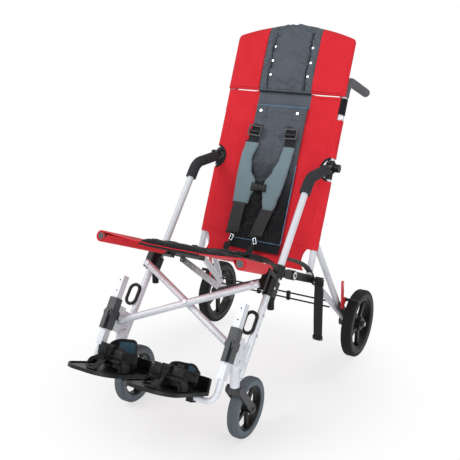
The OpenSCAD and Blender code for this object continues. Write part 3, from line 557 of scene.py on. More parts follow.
def heads_tree():
    """Round or six-sided heads on points that carry a facing direction."""
    tree = bpy.data.node_groups.new("fastener_heads", "GeometryNodeTree")
    face = tree.interface
    face.new_socket("Geometry", in_out="INPUT", socket_type="NodeSocketGeometry")
    for label, value in (("Radius", 0.004), ("Height", 0.003)):
        face.new_socket(label, in_out="INPUT", socket_type="NodeSocketFloat").default_value = value
    face.new_socket("Sides", in_out="INPUT", socket_type="NodeSocketInt").default_value = 16
    face.new_socket("Material", in_out="INPUT", socket_type="NodeSocketMaterial")
    face.new_socket("Geometry", in_out="OUTPUT", socket_type="NodeSocketGeometry")
    given = add(tree, "NodeGroupInput").outputs
    body = add(
        tree,
        "GeometryNodeMeshCylinder",
        {"Vertices": given["Sides"], "Radius": given["Radius"], "Depth": given["Height"]},
        fill_type="NGON",
    )
    small = add(tree, "ShaderNodeMath", {0: given["Radius"], 1: 0.62}, operation="MULTIPLY")
    thin = add(tree, "ShaderNodeMath", {0: given["Height"], 1: 1.35}, operation="MULTIPLY")
    crown = add(
        tree,
        "GeometryNodeMeshCylinder",
        {"Vertices": 16, "Radius": small.outputs[0], "Depth": thin.outputs[0]},
        fill_type="NGON",
    )
    both = add(tree, "GeometryNodeJoinGeometry")
    tree.links.new(body.outputs["Mesh"], both.inputs[0])
    tree.links.new(crown.outputs["Mesh"], both.inputs[0])
    facing = add(tree, "GeometryNodeInputNamedAttribute", {"Name": "facing"}, data_type="FLOAT_VECTOR")
    turn = add(tree, "FunctionNodeAlignRotationToVector", {"Vector": facing.outputs["Attribute"]}, axis="Z")
    set_out = add(
        tree,
        "GeometryNodeInstanceOnPoints",
        {"Points": given["Geometry"], "Instance": both.outputs[0], "Rotation": turn.outputs[0]},
    )
    real = add(tree, "GeometryNodeRealizeInstances", {"Geometry": set_out.outputs[0]})
    dressed = add(
        tree, "GeometryNodeSetMaterial", {"Geometry": real.outputs[0], "Material": given["Material"]}
    )
    add(tree, "NodeGroupOutput", {"Geometry": dressed.outputs[0]})
    return tree


def stitch_tree():
    """A row of raised stitches along a line of points that carries its surface's facing."""
    tree = bpy.data.node_groups.new("stitch_rows", "GeometryNodeTree")
    face = tree.interface
    face.new_socket("Geometry", in_out="INPUT", socket_type="NodeSocketGeometry")
    for label, value in (("Pitch", 0.006), ("Length", 0.0042), ("Width", 0.0012)):
        face.new_socket(label, in_out="INPUT", socket_type="NodeSocketFloat").default_value = value
    face.new_socket("Material", in_out="INPUT", socket_type="NodeSocketMaterial")
    face.new_socket("Geometry", in_out="OUTPUT", socket_type="NodeSocketGeometry")
    given = add(tree, "NodeGroupInput").outputs
    line = add(tree, "GeometryNodeMeshToCurve", {"Mesh": given["Geometry"]})
    dots = add(
        tree, "GeometryNodeCurveToPoints", {"Curve": line.outputs[0], "Length": given["Pitch"]}, mode="LENGTH"
    )
    size = add(
        tree, "ShaderNodeCombineXYZ", {"X": given["Width"], "Y": given["Width"], "Z": given["Length"]}
    )
    thread = add(tree, "GeometryNodeMeshCylinder", {"Vertices": 6, "Radius": 0.5, "Depth": 1.0})
    turn = add(tree, "FunctionNodeAlignRotationToVector", {"Vector": dots.outputs["Tangent"]}, axis="Z")
    set_out = add(
        tree,
        "GeometryNodeInstanceOnPoints",
        {
            "Points": dots.outputs["Points"],
            "Instance": thread.outputs["Mesh"],
            "Rotation": turn.outputs[0],
            "Scale": size.outputs[0],
        },
    )
    real = add(tree, "GeometryNodeRealizeInstances", {"Geometry": set_out.outputs[0]})
    dressed = add(
        tree, "GeometryNodeSetMaterial", {"Geometry": real.outputs[0], "Material": given["Material"]}
    )
    add(tree, "NodeGroupOutput", {"Geometry": dressed.outputs[0]})
    return tree


def grown(name, base, tree, values):
    """The plain mesh that a node tree makes of a base mesh."""
    made = bpy.data.objects.new(name, base)
    bpy.context.scene.collection.objects.link(made)
    worker = made.modifiers.new("grow", "NODES")
    worker.node_group = tree
    for socket in tree.interface.items_tree:
        if socket.in_out == "INPUT" and socket.name in values:
            worker[socket.identifier] = values[socket.name]
    bpy.context.view_layer.update()
    mesh = bpy.data.meshes.new_from_object(made.evaluated_get(bpy.context.evaluated_depsgraph_get()))
    made.modifiers.remove(worker)
    made.data = mesh
    mesh.name = name
    return made


def heads(name, spots, radius, height, finish, sides=16):
    """Fastener heads at (point, facing) spots."""
    base = bpy.data.meshes.new(name + "_spots")
    base.from_pydata([tuple(p) for p, _ in spots], [], [])
    facing = base.attributes.new("facing", "FLOAT_VECTOR", "POINT")
    for i, (_, way) in enumerate(spots):
        facing.data[i].vector = way
    tree = bpy.data.node_groups.get("fastener_heads") or heads_tree()
    return grown(
        name,
        base,
        tree,
        {"Radius": radius * MM, "Height": height * MM, "Sides": sides, "Material": FINISHES[finish]},
    )


def stitches(name, lines, finish):
    """Rows of stitches along lines of points."""
    pitch, length, width = 7.0, 4.8, 1.3
    base = bpy.data.meshes.new(name + "_lines")
    points, edges = [], []
    for line in lines:
        edges += [(len(points) + i, len(points) + i + 1) for i in range(len(line) - 1)]
        points += [tuple(p) for p in line]
    base.from_pydata(points, edges, [])
    tree = bpy.data.node_groups.get("stitch_rows") or stitch_tree()
    return grown(
        name,
        base,
        tree,
        {"Pitch": pitch * MM, "Length": length * MM, "Width": width * MM, "Material": FINISHES[finish]},
    )


# Settings


class BuggyCloth(bpy.types.PropertyGroup):
    sling_sag: FloatProperty(
        name="Back sag",
        description="How far the back sling gives between its tubes, in mm",
        default=5.0,
    )
    seat_sag: FloatProperty(
        name="Seat sag",
        description="How far the seat sling gives between its tubes, in mm",
        default=11.0,
    )
    pad_half: FloatProperty(
        name="Strip half width",
        description="Half the width of the dark centre strip, in mm",
        default=102.0,
    )
    quilt: FloatProperty(
        name="Quilt pitch",
        description="Spacing of the quilted lines of the back pad, in mm",
        default=62.0,
    )
    webbing: FloatProperty(
        name="Webbing width",
        description="Width of the harness webbing, in mm",
        default=40.0,
    )
    head_fill: FloatProperty(
        name="Head fill",
        description="Crown of the head panel, in mm",
        default=8.0,
    )


class BuggyColours(bpy.types.PropertyGroup):
    tubes: StringProperty(
        name="Tubes",
        description="Darker and paler shade of the tubes' enamel, as sRGB hex",
        default="C2C6CE D4D8DE",
    )
    red_cloth: StringProperty(
        name="Red cloth",
        description="Darker and paler shade of the slings, as sRGB hex",
        default="C81F2B D62D38",
    )
    charcoal_cloth: StringProperty(
        name="Charcoal cloth",
        description="Darker and paler shade of the head panel's middle, as sRGB hex",
        default="4D535A 5B626A",
    )
    vest: StringProperty(
        name="Vest",
        description="Darker and paler shade of the chest harness, as sRGB hex",
        default="687B83 788B93",
    )


class BuggyStage(bpy.types.PropertyGroup):
    azimuth: FloatProperty(
        name="Azimuth",
        description="Turn of the camera about the buggy",
        default=math.radians(30.374),
        subtype="ANGLE",
    )
    elevation: FloatProperty(
        name="Elevation",
        description="Height angle of the camera",
        default=math.radians(17.896),
        subtype="ANGLE",
    )
    eye: FloatVectorProperty(
        name="Eye",
        description="Place of the camera",
        default=(1.184, -2.0094, 1.310),
        subtype="XYZ",
        unit="LENGTH",
    )
    lens: FloatProperty(
        name="Lens",
        description="Focal length of the camera, in mm",
        default=58.85,
    )
    key: FloatProperty(
        name="Key light",
        description="Power of the main soft light",
        default=85.0,
        unit="POWER",
    )
    sky: FloatProperty(
        name="Sky",
        description="Strength of the even light from all round",
        default=0.42,
    )


def cloth():
    return bpy.context.scene.buggy_cloth


def colours():
    return bpy.context.scene.buggy_colours


# Operators


class BUGGY_OT_finishes(bpy.types.Operator):
    """Gives every CAD node its finish"""

    bl_idname = "buggy.finishes"
    bl_label = "Finishes"

    # Kinds of node that don't wear the slot in their record
    OWN = {"push_grip": "push_foam", "rest_sleeve": "dark_steel", "seat_tube": "grey_plastic"}
    # The brake levers are red out to here, in metres from the middle, and black beyond
    RED_REACH = 0.281

    def execute(self, context):
        make_finishes()
        for part in frame["record"]["subparts"]:
            name = part["node"]
            side, _, rest = name.partition("_")
            kind = rest if side in SIDES else name
            wear(name, self.OWN.get(kind, part["material_slot"]))
            if kind == "brake_lever":
                mesh = frame["nodes"][name].data
                mesh.materials.append(FINISHES["black_plastic"])
                beyond = [int(abs(p.center.x) > self.RED_REACH) for p in mesh.polygons]
                mesh.polygons.foreach_set("material_index", beyond)
        return {"FINISHED"}


class BUGGY_OT_back_sling(bpy.types.Operator):
    """The red back sling with its tube sleeves, half-moon cut-outs, bindings and lower flap"""

    bl_idname = "buggy.back_sling"
    bl_label = "Back sling"

    def execute(self, context):
        strip = cloth().pad_half
        outer, tab, thick = 14.0, 26, 2.0
        low, notch = 56, 506
        moon_v, moon_r, moon_x = 334, 40, 229
        moon_low, moon_high = moon_v - moon_r, moon_v + moon_r

        def front(x):
            return -outer - 0.4 + cloth().sling_sag * max(0, puff(x / 200, 2))

        def crease(x, v):
            """Soft waves, and fine pulls that run up and down the cloth."""
            return ripple((x, v, 3), 70, 1.8) + ripple((x, v * 0.22, 5), 17, 1.3)

        def on_cloth(x, v):
            return BACK.at(x, front(x) + crease(x, v), v)

        def flat(v):
            half = span(0, strip, 6) + span(strip, TUBE_X - 4, 10)[1:]
            return [on_cloth(x, v) for x in [-x for x in reversed(half)] + half[1:]]

        def edge(v):
            """Half width of the cloth beside a half-moon."""
            return min(TUBE_X, moon_x - math.sqrt(max(0, moon_r**2 - (v - moon_v) ** 2)))

        def notched(v):
            return [on_cloth(k * edge(v), v) for k in span(-1, 1, 48)]

        flap_half, flap_flare, flap_low, flap_rise = 184, 14, -18, 76

        def flap(k, t):
            """The lower flap, drawn in at half its height, which goes down behind the seat."""
            x = k * (flap_half + flap_flare * (2 * t - 1) ** 2)
            y = front(k * flap_half) + 1 + ripple((k * 150, t * 74, 9), 40, 2.0)
            return BACK.at(x, y, flap_low + flap_rise * t)

        grids = [
            [flat(v) for v in span(low, moon_low, 28)],
            [notched(v) for v in span(moon_low, moon_high, 22)],
            [flat(v) for v in span(moon_high, notch, 14)],
            [[flap(k, t) for k in span(-1, 1, 24)] for t in span(0, 1, 8)],
        ]
        parts = [sheet_piece(f"band{i}", grid, thick, ["red_nylon"]) for i, grid in enumerate(grids)]
        top_right, top_left, top_rise, top_bow = -225, 211, 78, 9
        across = span(top_right, -strip, 12) + span(-strip, strip, 20)[1:-1] + span(strip, top_left, 12)

        def upper(x, t):
            """Up to the sling's top edge, which goes in behind the head panel in the middle."""
            return on_cloth(x, notch + (top_rise + top_bow * max(0.0, puff(x / 125, 2))) * t)

        def pick(r, c):
            return int(abs(across[c] + across[c + 1]) / 2 < strip and r > 3)

        top_grid = [[upper(x, t) for x in across] for t in span(0, 1, 12)]
        parts.append(sheet_piece("upper", top_grid, thick, ["red_nylon", "grey_nylon"], pick))
        sling = join("back_sling_cloth", parts)
        trim = []
        for s in (-1, 1):
            path = [BACK.at(s * edge(v), front(edge(v)) - 0.4, v) for v in span(moon_low, moon_high, 30)]
            trim.append(cordon(f"moon{s}", path, 4.2, "black_webbing"))
        binding = join("back_sling_binding", trim)

        def sleeve(s, v):
            """Round one tube, from under the flat cloth's edge."""
            line = [(x, front(x) + 0.7) for x in span(TUBE_X - tab, TUBE_X - 5, 5)]
            line += arc((TUBE_X, 0), outer, -90, 205, 22)
            return [BACK.at(s * x, y + crease(s * x, v), v) for x, y in line]

        def along_tube(s, v0, v1, count):
            return [BACK.at(s * TUBE_X, 0, v) for v in span(v0, v1, count)]

        collar_low, collar_high, collar_r = 526, 582, 14.2
        clamp_low, clamp_high, clamp_r = 302, 366, 13.0
        bracket_v, bracket = 515, (8, 16, 14)
        sleeves = []
        for name, s in SIDES.items():
            heights = (span(low, moon_low, 28), span(moon_high, notch, 14))
            rolls = [[sleeve(s, v) for v in vs] for vs in heights]
            round_tube = [sheet_piece("sleeve", roll, thick * s, ["red_nylon"]) for roll in rolls]
            sleeves.append(join(f"{name}_back_sleeve", round_tube))
            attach(sleeves[-1], f"{name}_frame")
            spot = (s * (TUBE_X + 9), -3, bracket_v)
            collar = join(
                f"{name}_back_collar",
                [
                    cordon("sleeve", along_tube(s, collar_low, collar_high, 8), collar_r, "dark_nylon", 24),
                    rounded_block("bracket", BACK, spot, bracket, 2.6, "bright_steel"),
                    cordon("clamp", along_tube(s, clamp_low, clamp_high, 6), clamp_r, "black_plastic", 24),
                ],
            )
            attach(collar, f"{name}_frame")
        lift, hem_x, hem_v, top_hem_v, sewn_x = 0.6, 205, 66, 574, 196
        hems = [[BACK.at(x, front(x) - lift, hem_v) for x in span(-hem_x, hem_x, 40)]]
        for s in (-1, 1):
            for v0, v1 in ((low + 4, moon_low - 6), (moon_high + 6, notch - 6)):
                hems.append([BACK.at(s * sewn_x, front(sewn_x) - lift, v) for v in span(v0, v1, 24)])
            hems.append([BACK.at(s * x, front(x) - lift, top_hem_v) for x in span(strip + 4, hem_x, 16)])
            hems.append([BACK.at(s * (strip + 4), front(strip) - lift, v) for v in span(540, 580, 8)])
        seams = stitches("back_sling_stitches", hems, "red_nylon")
        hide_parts("back_sling")
        for made in (sling, binding, seams):
            fold_with(made, "right_frame")
        return {"FINISHED"}


class BUGGY_OT_head_panel(bpy.types.Operator):
    """The padded head panel with its charcoal centre, gathered seams and snap studs"""

    bl_idname = "buggy.head_panel"
    bl_label = "Head panel"

    def execute(self, context):
        half, low, strip, rear = 227.0, 586.4, cloth().pad_half, -15.8
        sewn_at = 70.0
        side_rise, bow, crown, crown_half = 198, 43, 4, 92
        corner_at, corner_drop = 0.95, 10
        ks = sorted(set(span(-1, 1, 110)) | {s * x / half for s in (-1, 1) for x in (strip, sewn_at)})
        ts = span(0, 1, 52)

        def top(k):
            """Height of the panel: bowed, with a crown in the middle and rounded corners."""
            corner = min(1.0, max(0.0, abs(k) - corner_at) / 0.05)
            bowed = side_rise + bow * puff(k, 2)
            raised = crown * max(0.0, puff(k * half / crown_half, 2)) ** 0.8
            return bowed + raised - corner_drop * (1 - math.sqrt(1 - corner**2))

        def depth(k, t):
            """Thickness: crowned, thin at the rim and the seams, with gathers beside the sewn lines."""
            x, v = k * half, low + t * top(k)
            edge = max(0.0, puff(k, 20)) ** 0.5 * max(0.0, puff(2 * t - 1, 24)) ** 0.5
            full = 3 + edge * (5 + cloth().head_fill * puff(k, 4) * puff(2 * t - 1, 6))
            if abs(x) > strip:
                return full + edge * (ripple((x, v, 20), 90, 1.4) + ripple((x, v * 0.2, 6), 20, 0.9))
            for at, sink in ((strip, 3.5), (sewn_at, 6.0)):
                full -= sink * math.exp(-(((abs(x) - at) / 5.0) ** 2)) * edge
            pull = math.exp(-(((abs(x) - sewn_at) / 17) ** 2))
            waver = 2 * noise.noise((x * 0.05, v * 0.03, 2))
            gather = math.sin((v + 0.5 * (abs(x) - sewn_at)) * 0.33 + waver)
            return max(2.5, full + edge * (3.0 * pull * gather + ripple((x, v, 20), 30, 1.8)))

        front = [[BACK.at(k * half, rear - depth(k, t), low + t * top(k)) for k in ks] for t in ts]
        back = [[BACK.at(k * half, rear, low + t * top(k)) for k in ks] for t in ts]

        def pick(r, c):
            return int(abs(ks[c] + ks[c + 1]) / 2 * half < strip)

        panel = shell("head_panel_pad", front, back, ["red_nylon", "grey_nylon"], pick, sharp=75)
        hold = []
        for r in range(len(ts)):
            for c, k in enumerate(ks):
                x = abs(k * half)
                rim = r in (0, len(ts) - 1) or c in (0, len(ks) - 1)
                gather = abs(x - sewn_at) < 1 and r % 3 == 0
                hold.append(rim or x > strip - 1 or gather)
        inflate(panel, hold + [True] * len(hold), 9.0, 0.12)
        on_front = finder(panel, BACK, 80)
        stud_xs, stud_vs, stud_r, stud_high = (-63, 82), (643, 693, 744), 3.8, 3.4
        spots = [(on_front(x, v, 1.2), BACK.way(0, -1, 0)) for x in stud_xs for v in stud_vs]
        studs = heads("head_panel_studs", spots, stud_r, stud_high, "bright_steel")
        seams = [s * at for s in (-1, 1) for at in (strip, sewn_at)]
        lines = [[on_front(x, v, 0.2) for v in span(low + 10, low + 205, 60)] for x in seams]
        lines += [[on_front(x, low + 8, 0.2) for x in span(-215, 215, 60)]]
        sewn = stitches("head_panel_stitches", lines, "dark_nylon")
        # Wavy dark cords beside the sewn lines: painted shade in the puckers there.
        folds = [
            [on_front(x + 4.5 * math.sin(v / 17 + x), v, 0.0) for v in span(low + 6, low + 216, 60)]
            for x in (-sewn_at, sewn_at + 3)
        ]
        # A dark cord along the lower edge of the charcoal centre: painted shade of the gap below the panel.
        foot = [BACK.at(x, rear - 3, low - 1) for x in span(-strip, strip, 24)]
        painted_shade_cords = join(
            "head_panel_painted_shade",
            [cordon("pucker_shade", path, 1.7, "dark_nylon") for path in folds]
            + [cordon("foot", foot, 3.0, "dark_nylon")],
        )
        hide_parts("head_panel")
        slots = (
            (panel, "red_nylon"),
            (studs, "bare_aluminium"),
            (sewn, "grey_nylon"),
            (painted_shade_cords, "grey_nylon"),
        )
        for made, slot in slots:
            fold_with(made, "right_frame")
        return {"FINISHED"}


class BUGGY_OT_back_pad(bpy.types.Operator):
    """The quilted charcoal pad down the middle of the back, with blue piping and a black tail"""

    bl_idname = "buggy.back_pad"
    bl_label = "Back pad"

    def execute(self, context):
        half, low, high, rear = 99.0, 52.0, 536.0, -15.7
        rows = [low + cloth().quilt * i for i in range(1, 8)]
        xs, vs = span(-half, half, 50), span(low, high, 122)
        columns = (xs[12], xs[38])

        def depth(x, v):
            """Thickness: full between the quilted lines, with short creases across."""
            up = 2 * (v - low) / (high - low) - 1
            edge = max(0.0, puff(x / half, 14)) ** 0.5 * max(0.0, puff(up, 40)) ** 0.5
            line = max(math.exp(-(((v - at) / 4) ** 2)) for at in rows)
            line = max(line, 0.6 * max(math.exp(-(((x - at) / 4) ** 2)) for at in columns))
            crease = ripple((x * 0.35, v, 40), 12, 2.4) + ripple((x, v, 44), 30, 1.6)
            return 1.6 + edge * (6.4 - 2.6 * line + crease)

        front = [[BACK.at(x, rear - depth(x, v), v) for x in xs] for v in vs]
        back = [[BACK.at(x, rear, v) for x in xs] for v in vs]
        # The pad's colour darkens towards its lower end as painted shade.
        pad = shell("back_pad_quilt", front, back, ["pad_nylon"], sharp=75)
        hold = []
        for r, v in enumerate(vs):
            for c, x in enumerate(xs):
                rim = r in (0, len(vs) - 1) or c in (0, len(xs) - 1)
                row = min(abs(v - at) for at in rows) < 2.1 and c % 3 == 0
                column = x in columns and r % 4 == 0
                hold.append(rim or row or column)
        inflate(pad, hold + [True] * len(hold), 6.0, 0.1)
        on_front = finder(pad, BACK, 80)
        pipe_y, pipe_tops, tail_drop = rear - 2.4, {-1: 150, 1: 330}, 34
        side = [
            [BACK.at(s * half, pipe_y, v) for v in span(low + 2, top, 40)] for s, top in pipe_tops.items()
        ]
        across = [[BACK.at(x, pipe_y, v) for x in span(-half, half, 30)] for v in (low, high)]

        def tail(x, t):
            wave = ripple((x, 30 * t, 60), 24, 2.0) * t
            return BACK.at(x, rear - 1.6 - 2 * t + wave, low - tail_drop * t)

        tail_grid = [[tail(x, t) for x in span(-half, half, 24)] for t in span(0, 1, 8)]
        piping = join(
            "back_pad_piping",
            [cordon("piping", path, 1.7, "blue_binding") for path in side + across]
            + [sheet_piece("tail", tail_grid, 2.0, ["dark_nylon"])],
        )
        stud_xs, stud_v, stud_r, stud_high = (-73, 69), 512, 5.0, 2.8
        spots = [(on_front(x, stud_v, 0.6), BACK.way(0, -1, 0)) for x in stud_xs]
        studs = heads("back_pad_studs", spots, stud_r, stud_high, "bright_steel")
        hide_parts("back_pad")
        for made, slot in ((pad, "grey_nylon"), (piping, "grey_nylon"), (studs, "bare_aluminium")):
            fold_with(made, "right_frame")
        return {"FINISHED"}


class BUGGY_OT_harness(bpy.types.Operator):
    """The chest harness: two neoprene halves, webbing, slides, hooks and the middle buckle"""

    bl_idname = "buggy.harness"
    bl_label = "Harness"

    # Height, left edge and right edge of each half, from its bottom to its top
    HALVES = {
        "right": (
            (174, -110, -50),
            (200, -111, -46),
            (230, -112, -33),
            (256, -113, -36),
            (296, -113, -60),
            (338, -112, -67),
            (396, -107, -53),
        ),
        "left": (
            (160, 12, 54),
            (195, 4, 61),
            (232, -3, 70),
            (258, 1, 75),
            (298, 22, 80),
            (344, 38, 84),
            (392, 44, 87),
        ),
    }
    # Where the webbing of each half ends above and below, across the back
    UPPER = {"right": -74, "left": 62}
    LOWER = {"right": -88, "left": 5}
    # Turns of each half's slide, hook and gate, in degrees
    TURNS = {"right": (4, 14, 30), "left": (-3, -20, -26)}
    # Place across and size of each block of the middle buckle
    BUCKLE = ((-36, (15, 7, 30)), (-22, (18, 10, 26)), (-6, (16, 8, 22)), (8, (13, 7, 28)))

    def execute(self, context):
        rear, width = -30.0, cloth().webbing
        wide = width * 1.2
        slot_v, slide_v, buckle_v, keeper_v, hook_v, gate_v = 462, 436, 236, 66, 50, 34
        pads, trim = [], []
        for name, edges in self.HALVES.items():
            ts, ks = span(0, 1, 60), span(-1, 1, 18)
            low, top = edges[0][0], edges[-1][0]

            def at(k, t, lift):
                """A point of the half: lift is 0 on its back and 1 on its full front."""
                v = low + (top - low) * t
                left, right = eased(edges, v)
                x = (left + right) / 2 + k * (right - left) / 2
                full = 1.6 + 7.0 * max(0.0, puff(k, 5)) ** 0.5 * max(0.0, puff(2 * t - 1, 20)) ** 0.5
                bow = 4.0 * math.sin(math.pi * t) + ripple((x, v, 60), 40, 1.0)
                return BACK.at(x, rear - full * lift - bow, v)

            front = [[at(k, t, 1.0) for k in ks] for t in ts]
            back = [[at(k, t, 0.0) for k in ks] for t in ts]
            pads.append(shell(f"harness_{name}_half", front, back, ["slate_neoprene"], sharp=75))
            for t in (0, 1):
                trim.append(cordon("hem", [at(k, t, 0.7) for k in ks], 3.2, "black_webbing"))
            mid_top, mid_low = sum(edges[-1][1:]) / 2, sum(edges[0][1:]) / 2
            upper, lower = self.UPPER[name], self.LOWER[name]

            def rising(t):
                x = mid_top + (upper - mid_top) * t
                return BACK.at(x, rear - 3 + 6 * t * t, top - 10 + (slot_v - top + 10) * t)

            def falling(t):
                x = mid_low + (lower - mid_low) * t
                y = rear - 3 + 4 * t - 3 * math.sin(math.pi * t)
                return BACK.at(x, y, low + 10 + (keeper_v - low - 10) * t)

            up, down = [[line(t) for t in span(0, 1, 20)] for line in (rising, falling)]
            ends = [
                BACK.at(lower - 6, rear - 4, 30),
                BACK.at(lower - 4, rear - 14, 4),
                SEAT.at(lower * 0.8, 470, 34),
                SEAT.at(lower * 0.6, 424, 36),
            ]
            anchor = [ends[i].lerp(ends[i + 1], t) for i in range(3) for t in (0, 0.25, 0.5, 0.75)] + ends[3:]
            slide = Vector((mid_top + (upper - mid_top) * 0.66, rear - 8, slide_v))
            bar = slide - Vector((0, 1, 3))
            keeper = (lower, rear - 1, keeper_v)
            hook = (lower + 2, rear - 3, hook_v)
            gate = (lower - 3, rear - 3, gate_v)
            slide_turn, hook_turn, gate_turn = self.TURNS[name]
            trim += [
                strap("up", up, [BACK.way(1, 0, 0)] * 21, width, 2.0, "black_webbing"),
                strap("down", down, [BACK.way(1, 0, 0.12)] * 21, wide, 2.2, "grey_webbing"),
                # The slide's frame is grey as a painted highlight; the real slide is black plastic like its
                # bar.
                ring_block("slide", BACK, slide, (width + 11, 38), 4.6, 5.0, "grey_plastic", slide_turn),
                rounded_block("slide_bar", BACK, bar, (width + 6, 5, 9), 2.0, "black_plastic", slide_turn),
                ring_block("keeper", BACK, keeper, (wide + 3, 9), 2.4, 5.0, "black_plastic"),
                ring_block("hook", BACK, hook, (13, 22), 2.4, 2.6, "bright_steel", hook_turn),
                rounded_block("gate", BACK, gate, (4.5, 4, 18), 1.6, "dark_steel", gate_turn),
                strap("anchor", anchor, [Vector((1, 0, 0))] * 13, 24, 2.2, "black_webbing"),
            ]
        path = [BACK.at(x, rear - 12, buckle_v) for x in span(-44, 14, 12)]
        trim.append(strap("across", path, [BACK.way(0, 0, 1)] * 13, 20, 2.0, "black_webbing"))
        for x, size in self.BUCKLE:
            trim.append(rounded_block("buckle", BACK, (x, rear - 14, buckle_v), size, 2.6, "black_plastic"))
        webbing = join("harness_webbing", trim)
        vest = join("harness_vest", pads)
        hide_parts("harness")
        for made in (vest, webbing):
            fold_with(made, "right_frame")
        return {"FINISHED"}


class BUGGY_OT_seat(bpy.types.Operator):
    """The seat sling with its tube sleeves, dark centre pad and front trim"""

    bl_idname = "buggy.seat"
    bl_label = "Seat"

    def execute(self, context):
        outer, tab, thick = RAIL_R + 2.9, 26, -2.0
        strip = cloth().pad_half + 2
        # The seat stops short of the back, which comes closer as the frame folds
        front_y, sleeve_y, rear_y = -14, 258, 446
        rear_half, rear_from = 166, 262
        pad_front, pad_rear, quilt = -5, 438, 84

        def lie(x, y, half):
            """Height of the cloth over the tubes' middle."""
            sag = cloth().seat_sag * max(0.0, puff(x / half, 2))
            return outer - 1.2 - sag + ripple((x, y, 80), 60, 1.8)

        def across(half, reach, y, count):
            return [SEAT.at(k * half, y, lie(k * half, y, reach)) for k in span(-1, 1, count)]

        def flat(y):
            return across(rail_x(y) - 3, rail_x(y), y, 34)

        def narrow(y):
            """Behind the sleeves the cloth clears the knuckles."""
            half = rear_half - (y - rear_from) * SPLAY / 2
            return across(half, half, y, 30)

        def sleeve(s, y):
            """Round one tube, from under the flat cloth's edge and back up to the stitch line."""
            rail = rail_x(y)
            line = [(x, lie(x, y, rail) - 0.7) for x in span(rail - tab, rail - 5, 5)]
            line += arc((rail, 0), outer, 90, -142, 18)
            line.append((rail - 25, lie(rail - tab, y, rail) - 4.6))
            return [SEAT.at(s * x, y, z) for x, z in line]

        grids = {
            "front": [flat(y) for y in span(front_y, sleeve_y, 26)],
            "rear": [narrow(y) for y in span(sleeve_y - 2, rear_y, 15)],
        }
        sling = join(
            "seat_sling_cloth",
            [sheet_piece(name, grid, thick, ["red_nylon"]) for name, grid in grids.items()],
        )
        xs, ys = span(-strip, strip, 46), span(pad_front, pad_rear, 88)

        def off_line(y):
            """Distance to the nearest quilted line."""
            return abs((y / quilt + 0.5) % 1 - 0.5) * quilt

        def depth(x, y):
            along = 2 * (y - pad_front) / (pad_rear - pad_front) - 1
            edge = max(0.0, puff(x / strip, 8)) ** 0.5 * max(0.0, puff(along, 26)) ** 0.5
            dip = 4.0 * math.exp(-((off_line(y) / 4) ** 2))
            return 1.4 + edge * (15.0 - dip + ripple((x, y, 50), 26, 2.2))

        def under(x, y):
            return lie(x, y, rail_x(max(0, min(y, sleeve_y)))) + 0.6

        pad = shell(
            "seat_pad_quilt",
            [[SEAT.at(x, y, under(x, y) + depth(x, y)) for x in xs] for y in ys],
            [[SEAT.at(x, y, under(x, y)) for x in xs] for y in ys],
            ["dark_nylon"],
            sharp=75,
        )
        hold = []
        for r, y in enumerate(ys):
            for c in range(len(xs)):
                rim = r in (0, len(ys) - 1) or c in (0, len(xs) - 1)
                hold.append(rim or (off_line(y) < 2.6 and c % 3 == 0))
        inflate(pad, hold + [True] * len(hold), 6.0, 0.05)
        trim, sleeves = [], []
        path = [SEAT.at(x, -9.5, lie(x, 0, RAIL_FRONT) - 3) for x in span(-strip, strip, 40)]
        trim.append(strap("front_band", path, [SEAT.way(0, 0, 1)] * 41, 9, thick, "black_webbing"))
        cap_y, cap_r, hem_r = -15, 12.4, 1.9
        for name, s in SIDES.items():
            ring = [
                SEAT.at(s * rail_x(cap_y) + cap_r * math.cos(a), cap_y, cap_r * math.sin(a))
                for a in span(0, 2 * math.pi, 32)
            ]
            roll = [sleeve(s, y) for y in span(front_y, sleeve_y, 26)]
            round_tube = sheet_piece("sleeve", roll, thick * s, ["red_nylon"])
            hem = cordon("cap_hem", ring, hem_r, "red_nylon")
            sleeves.append(join(f"{name}_seat_sleeve", [round_tube, hem]))
            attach(sleeves[-1], f"{name}_runner")
            side = [SEAT.at(s * strip, y, under(strip, y) + 3) for y in span(0, pad_rear - 4, 52)]
            trim.append(cordon("pad_edge", side, 2.4, "black_webbing"))
        edging = join("seat_trim", trim)

        def seam(s, y):
            x = rail_x(y) - 20
            return SEAT.at(s * x, y, lie(x, y, rail_x(y)) + 0.4)

        lines = [[seam(s, y) for y in span(6, sleeve_y - 4, 40)] for s in (-1, 1)]
        sewn = stitches("seat_stitches", lines, "red_nylon")
        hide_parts("seat_sling")
        slots = (
            (sling, "red_nylon"),
            (pad, "red_nylon"),
            (edging, "black_webbing"),
            (sewn, "red_nylon"),
        )
        for made, slot in slots:
            fold_with(made, "right_runner")
        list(sleeves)
        return {"FINISHED"}


class BUGGY_OT_lap_belt(bpy.types.Operator):
    """The lap belt across the rear of the seat, with its buckle"""

    bl_idname = "buggy.lap_belt"
    bl_label = "Lap belt"

    def execute(self, context):
        half, y, z = 127, 419, 29.0
        xs = span(-half, half, 40)
        path = [SEAT.at(x, y + 5 * math.sin(x / 60), z + 1.5 * math.cos(x / 40)) for x in xs]
        lean = [SEAT.way(0, 0.9, 0.7 * puff(x / half, 4) + 0.15 * math.sin(x / 35)) for x in xs]
        parts = [
            strap("belt", path, lean, 38, 2.4, "black_webbing"),
            rounded_block("belt_buckle", SEAT, (-8, y, z + 5), (42, 34, 9), 3.0, "black_plastic"),
            rounded_block("belt_tongue", SEAT, (26, y, z + 4.5), (30, 28, 7), 2.6, "black_plastic"),
            rounded_block("belt_button", SEAT, (-16, y, z + 9.5), (14, 16, 3), 1.2, "red_enamel"),
        ]
        belt = join("lap_belt_webbing", parts)
        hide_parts("lap_belt")
        fold_with(belt, "right_runner")
        return {"FINISHED"}


